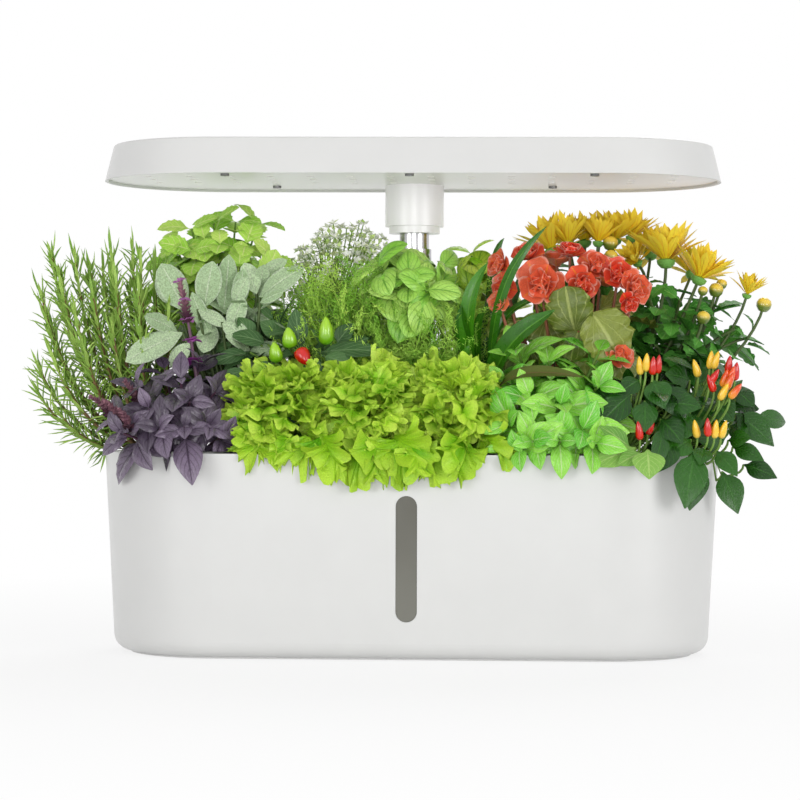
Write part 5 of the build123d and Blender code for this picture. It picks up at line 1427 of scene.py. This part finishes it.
def ray_flower(reach, open_angle=56, rings=3, rays=17, seed=1):
    """A many-rayed flower that opens along +Z from its green cup at the origin."""
    draw = np.random.default_rng(seed)
    forms = []
    for ring in range(rings):
        share = ring / max(rings - 1, 1)
        for ray in range(rays - 2 * ring):
            around = 2 * math.pi * (ray + 0.5 * (ring % 2)) / (rays - 2 * ring) + draw.normal(0, 0.06)
            lean = math.radians((open_angle - 6) * (1 - 0.7 * share) + draw.normal(0, 7))
            length = reach * (1 - 0.35 * share) * draw.uniform(0.88, 1.08)
            form = blade(length, reach * 0.22, ovate(0.6, 0.7), rows=5, columns=2, fold=0.2,
                         droop=-12 + 18 * (1 - share) + draw.normal(0, 8), thickness=0.5)
            way = (math.sin(lean) * math.cos(around), math.sin(lean) * math.sin(around), math.cos(lean))
            face = (-math.cos(lean) * math.cos(around), -math.cos(lean) * math.sin(around), math.sin(lean))
            forms.append(put(form, (0, 0, 1 + 1.5 * share), way, face))
    points, faces, chart, tint = joined(forms)
    return points, faces, chart


mum_flowers = [
    ((89, 38, 253), 28, (-0.3, 0.05, 1), 52), ((110, 50, 259), 24, (0, 0.1, 1), 56),
    ((129, 46, 260), 24, (0.1, 0.05, 1), 52), ((144, 36, 246), 18, (-0.5, -0.5, 0.6), 56),
    ((161, 26, 245), 32, (0, 0.05, 1), 54), ((181, 22, 234), 28, (0.4, 0.02, 1), 56),
    ((213, 36, 225), 17, (0.25, -0.1, 1), 44), ((100, 64, 259), 22, (-0.2, 0.5, 0.9), 68),
    ((153, 62, 252), 24, (0.1, 0.6, 0.8), 66), ((179, 58, 239), 22, (0.4, 0.6, 0.9), 66),
    ((127, 66, 263), 22, (0, 0.5, 1), 68), ((118, 34, 258), 20, (0.1, 0.1, 1), 52),
    ((140, 44, 262), 22, (0.1, 0.05, 1), 54), ((99, 34, 257), 24, (-0.15, 0.05, 1), 54),
]
rays = joined([
    aimed(ray_flower(reach, angle, seed=number), place, axis)
    for number, (place, reach, axis, angle) in enumerate(mum_flowers)
])
ray_mesh = make_mesh("chrysanthemum_rays", rays)
keep_clear(ray_mesh)
dress("chrysanthemum_rays", ray_mesh, ray_skin)

mum_buds = [
    ((193, 28, 229), 4.8), ((197, 34, 233), 3.6), ((184, 20, 228), 3.2), ((184, 14, 211), 4.4),
    ((224, 34, 220), 5.0), ((126, 34, 259), 5.0), ((126, 26, 250), 4.6), ((120, 40, 265), 4.0),
]
bud_profile = [(0, -1.0), (0.6, -0.85), (0.95, -0.35), (1.0, 0.15), (0.8, 0.6), (0.4, 0.85), (0, 0.95)]
bud_mesh = make_mesh("chrysanthemum_buds", joined([
    aimed(turned(bud_profile, 12), place, (0.2, -0.3, 1), radius) for place, radius in mum_buds
]))
dress("chrysanthemum_buds", bud_mesh,
      fruit_skin("bud_yellow", srgb(104, 124, 46), srgb(240, 208, 76), (0.4, 0.85)))
cup_profile = [(0, -0.5), (0.55, -0.4), (0.95, 0.0), (1.05, 0.45), (0.7, 0.6), (0, 0.62)]
cup_mesh = make_mesh("chrysanthemum_cups", joined([
    aimed(turned(cup_profile, 12), place, axis, 0.18 * reach) for place, reach, axis, angle in mum_flowers
]))
dress("chrysanthemum_cups", cup_mesh, mum_leaf_skin)


def lobed(widest=0.5, lobes=3.5, depth=0.3):
    smooth = ovate(widest, 0.55)
    return lambda along: smooth(along) * (1 - depth * (0.5 + 0.5 * np.cos(2 * np.pi * lobes * along)))


mum_leaves = [
    blade(length, width, lobed(), rows=14, columns=6, cup=0.1, fold=0.12, droop=droop, stalk=0.14,
          thickness=0.6)
    for length, width, droop in ((34, 23, 35), (40, 27, 20), (28, 19, 50))
]
mum_ends = [(place, axis) for place, reach, axis, angle in mum_flowers]
mum_ends += [(place, (0.2, -0.2, 1)) for place, radius in mum_buds]
mum_ends += [
    ((165, 18, 208), (-0.2, -1, 0.6)), ((182, 20, 197), (0.3, -1, 0.4)), ((205, 30, 204), (0.9, -0.3, 0.4)),
    ((145, 26, 210), (-0.6, -0.8, 0.5)), ((215, 40, 199), (1, 0, 0.2)), ((176, 16, 184), (0.2, -1, 0.1)),
    ((156, 56, 223), (-0.2, 1, 0.5)), ((195, 58, 211), (0.6, 0.9, 0.4)), ((154, 14, 193), (-0.4, -1, 0.2)),
    ((169, 14, 222), (0, -1, 0.6)), ((150, 14, 222), (-0.4, -1, 0.6)), ((185, 14, 181), (0.3, -1, 0)),
    ((195, 24, 187), (0.7, -0.8, 0.1)), ((120, 60, 230), (-0.4, 0.9, 0.4)), ((137, 64, 204), (-0.2, 1, 0.1)),
    ((173, 66, 198), (0.2, 1, 0.1)), ((205, 60, 195), (0.8, 0.7, 0.1)), ((107, 56, 248), (-0.5, 0.6, 0.5)),
]
mum_lines = shoots(chrysanthemum_foot, mum_ends, reach=38)
head_count = len(mum_flowers) + len(mum_buds)
mum_leaf_lines = [line[:-2] for line in mum_lines[:head_count]] + mum_lines[head_count:]
dress("chrysanthemum_leaves",
      leafy(mum_leaf_lines, mum_leaves, mum_leaf_skin, spacing=11, start=0.34, ring=1, turn=golden_angle,
            low_angle=85, high_angle=60, low_size=1.0, high_size=0.55, scatter=20, seed=81),
            mum_leaf_skin, "chrysanthemum")
dress("chrysanthemum_stems", stems_of(mum_lines, dark_bark, 1.6, 1.0), dark_bark)

# ---- Bright basil --------------------------------------------------------------------------------
# Vivid green leaves with pale veins in open rosettes that face forward over the rim.
bright_skin = foliage("bright_skin", srgb(74, 196, 28), srgb(182, 250, 90), srgb(232, 255, 190), ribs=6,
                      slant=1.1, roughness=0.3, shine=0.5, relief=0.0018, low=0.4)
bright_foot = (75, -44, sponge_top)
bright_tips = [
    ((67, -40, 188), (-0.3, -0.7, 0.8)), ((74, -66, 160), (-0.2, -1, 0.4)), ((115, -60, 166), (0.4, -1, 0.4)),
    ((105, -76, 140), (0.2, -1, 0.2)), ((76, -80, 134), (-0.3, -1, 0.1)), ((86, -44, 182), (0.1, -0.7, 0.8)),
    ((116, -40, 188), (0.3, -0.5, 0.9)), ((92, -72, 155), (0.1, -1, 0.4)),
    ((59, -54, 169), (-0.8, -0.8, 0.4)), ((62, -70, 143), (-0.7, -0.9, 0.2)),
    ((120, -62, 146), (0.7, -0.9, 0.2)), ((99, -24, 192), (0.1, 0.3, 1)), ((68, -78, 129), (-0.3, -1, 0)),
    ((92, -82, 134), (0, -1, 0.1)), ((113, -78, 133), (0.3, -1, 0)),
]
bright_lines = shoots(bright_foot, bright_tips, reach=28)
bright_leaves = [
    blade(length, width, ovate(0.4, 0.85), rows=12, columns=6, cup=-0.2, fold=0.4, droop=droop,
          quilt=(2.0, 6), stalk=0.1, thickness=0.5)
    for length, width, droop in ((36, 20, 35), (40, 22, 50), (31, 18, 20))
]
dress("bright_basil_leaves",
      leafy(bright_lines, bright_leaves, bright_skin, spacing=6, start=0.64, low_angle=90, high_angle=32,
            low_size=1.05, high_size=0.5, scatter=14, seed=71), bright_skin, "bright_basil")
dress("bright_basil_stems", stems_of(bright_lines, green_bark, 1.5, 0.8), green_bark)

# ---- Ornamental chilies --------------------------------------------------------------------------
# Two pepper plants at the right end. Pointed dark leaves hang over the rim, and small upright fruits
# stand in clusters, ripening from yellow through orange to red.
hanging_skin = foliage("hanging_skin", srgb(10, 54, 5), srgb(48, 112, 16), srgb(58, 118, 30), ribs=6,
                       slant=0.9, roughness=0.3, sheer=0.08, shine=0.3, relief=0.0008)
young_skin = foliage("young_skin", srgb(84, 150, 50), srgb(150, 196, 92), srgb(186, 216, 128), ribs=6,
                     slant=0.9, roughness=0.4)
front_chili_foot, side_chili_foot = (125, -44, sponge_top), (156, 0, sponge_top)
front_leaves = [
    ((135, -62, 162), (114, -78, 144), 17), ((143, -66, 158), (143, -78, 141), 15),
    ((137, -78, 130), (111, -86, 121), 15), ((140, -80, 127), (126, -88, 121), 11),
    ((144, -82, 129), (145, -92, 113), 19), ((134, -76, 130), (117, -84, 144), 11),
    ((148, -58, 171), (155, -68, 155), 17), ((156, -52, 168), (168, -62, 148), 18),
    ((160, -66, 135), (149, -82, 117), 17), ((171, -62, 135), (157, -76, 127), 15),
    ((153, -62, 147), (165, -76, 135), 17), ((141, -56, 171), (127, -64, 163), 12),
    ((171, -54, 151), (162, -68, 135), 17), ((132, -60, 151), (122, -70, 160), 15),
    ((158, -54, 157), (177, -62, 156), 15),
]
side_leaves = [
    ((173, -68, 128), (167, -84, 96), 20), ((175, -66, 121), (170, -78, 94), 17),
    ((192, -38, 115), (202, -48, 91), 17), ((206, -26, 119), (226, -34, 113), 13),
    ((199, -30, 130), (217, -40, 124), 12), ((196, -32, 134), (208, -42, 137), 12),
    ((201, -24, 151), (225, -34, 133), 18), ((203, -16, 164), (213, -24, 156), 12),
    ((187, -54, 128), (199, -66, 115), 13), ((179, -62, 130), (176, -76, 122), 12),
    ((186, -34, 159), (198, -46, 148), 18), ((173, -22, 171), (159, -32, 176), 17),
    ((179, -24, 168), (187, -38, 156), 20), ((190, -50, 134), (174, -60, 138), 14),
    ((182, -36, 146), (191, -50, 134), 19), ((173, -32, 159), (178, -46, 143), 19),
    ((198, -24, 143), (209, -34, 139), 15), ((181, 0, 178), (194, 10, 183), 18),
    ((190, 14, 168), (207, 30, 164), 19), ((176, 20, 168), (180, 42, 177), 19),
    ((198, 10, 143), (216, 26, 136), 18),
]


def chili_leaves(name, places, skin, replaced=None):
    mesh = make_mesh(name, joined([
        leaf_at(foot, tip, width * 1.05, (0.1, -1, 0.5), outline=ovate(0.38, 0.95), rows=10, columns=4,
                cup=-0.12, fold=0.25, droop=22, quilt=(0.7, 5), stalk=0.08, thickness=0.5)
        for foot, tip, width in places
    ]))
    keep_clear(mesh)
    dress(name, mesh, skin, replaced)


chili_leaves("front_chili_leaves", front_leaves[:2] + front_leaves[6:], hanging_skin,
             "ornamental_chili_front")
chili_leaves("front_chili_young_leaves", front_leaves[2:6], young_skin)
chili_leaves("side_chili_leaves", side_leaves, hanging_skin, "ornamental_chili_side")
side_bush = bush(side_chili_foot, (178, -2, 150), (34, 30, 32), 15, seed=92, low=-0.2)
front_bush = bush(front_chili_foot, (146, -46, 142), (26, 20, 28), 12, seed=93, low=-0.1)
for name, lines, seed in (("side_chili_bush", side_bush, 94), ("front_chili_bush", front_bush, 95)):
    dress(name,
          leafy(lines, pointed_leaves, hanging_skin, spacing=11, start=0.35, ring=1, turn=golden_angle,
                low_angle=85, high_angle=45, low_size=0.95, high_size=0.7, scatter=18, seed=seed),
                hanging_skin)
fruit_places = {
    "yellow_fruit": [((141, -56, 174), -0.1), ((144, -58, 176), 0.05), ((177, -40, 173), -0.3),
                     ((184, -38, 178), 0.1), ((186, -40, 178), 0.3), ((189, -52, 159), 0.5),
                     ((175, -62, 136), -0.2), ((185, -64, 136), 0.1), ((189, -62, 136), 0.3)],
    "orange_fruit": [((193, -50, 165), 0.4), ((195, -46, 169), 0.3), ((195, -54, 160), 0.8),
                     ((191, -46, 167), 0.3)],
    "red_fruit": [((148, -58, 174), 0.05), ((151, -56, 175), 0.1), ((183, -48, 168), 0.6),
                  ((195, -40, 175), 0.1), ((199, -42, 171), 0.1), ((186, -48, 164), -0.4),
                  ((181, -66, 137), -0.05), ((140, -74, 135), -0.15), ((145, -66, 138), 0.3)],
}
fruit_colours = {
    "yellow_fruit": (srgb(240, 200, 70), srgb(246, 196, 40)),
    "orange_fruit": (srgb(246, 160, 40), srgb(230, 80, 20)),
    "red_fruit": (srgb(222, 40, 14), srgb(200, 14, 14)),
}
for name, places in fruit_places.items():
    mesh = make_mesh(name, joined([
        aimed(pepper(11.5, 2.5), place, (lean, -0.25, 1)) for place, lean in places
    ]))
    dress("ornamental_" + name, mesh, fruit_skin("ornamental_" + name, *fruit_colours[name]))
stalk_lines = [
    curve_through(front_chili_foot if place[0] < 165 else side_chili_foot, np.array(place) - (0, 4, 16),
                  place)
    for places in fruit_places.values() for place, lean in places
]
leaf_lines = [curve_through(front_chili_foot, np.array(foot) - (0, -6, 14), foot)
              for foot, tip, width in front_leaves]
leaf_lines += [curve_through(side_chili_foot, np.array(foot) - (0, -6, 14), foot)
               for foot, tip, width in side_leaves]
dress("ornamental_chili_stems",
      stems_of(stalk_lines + leaf_lines + side_bush + front_bush, green_bark, 1.3, 0.7),
      green_bark)
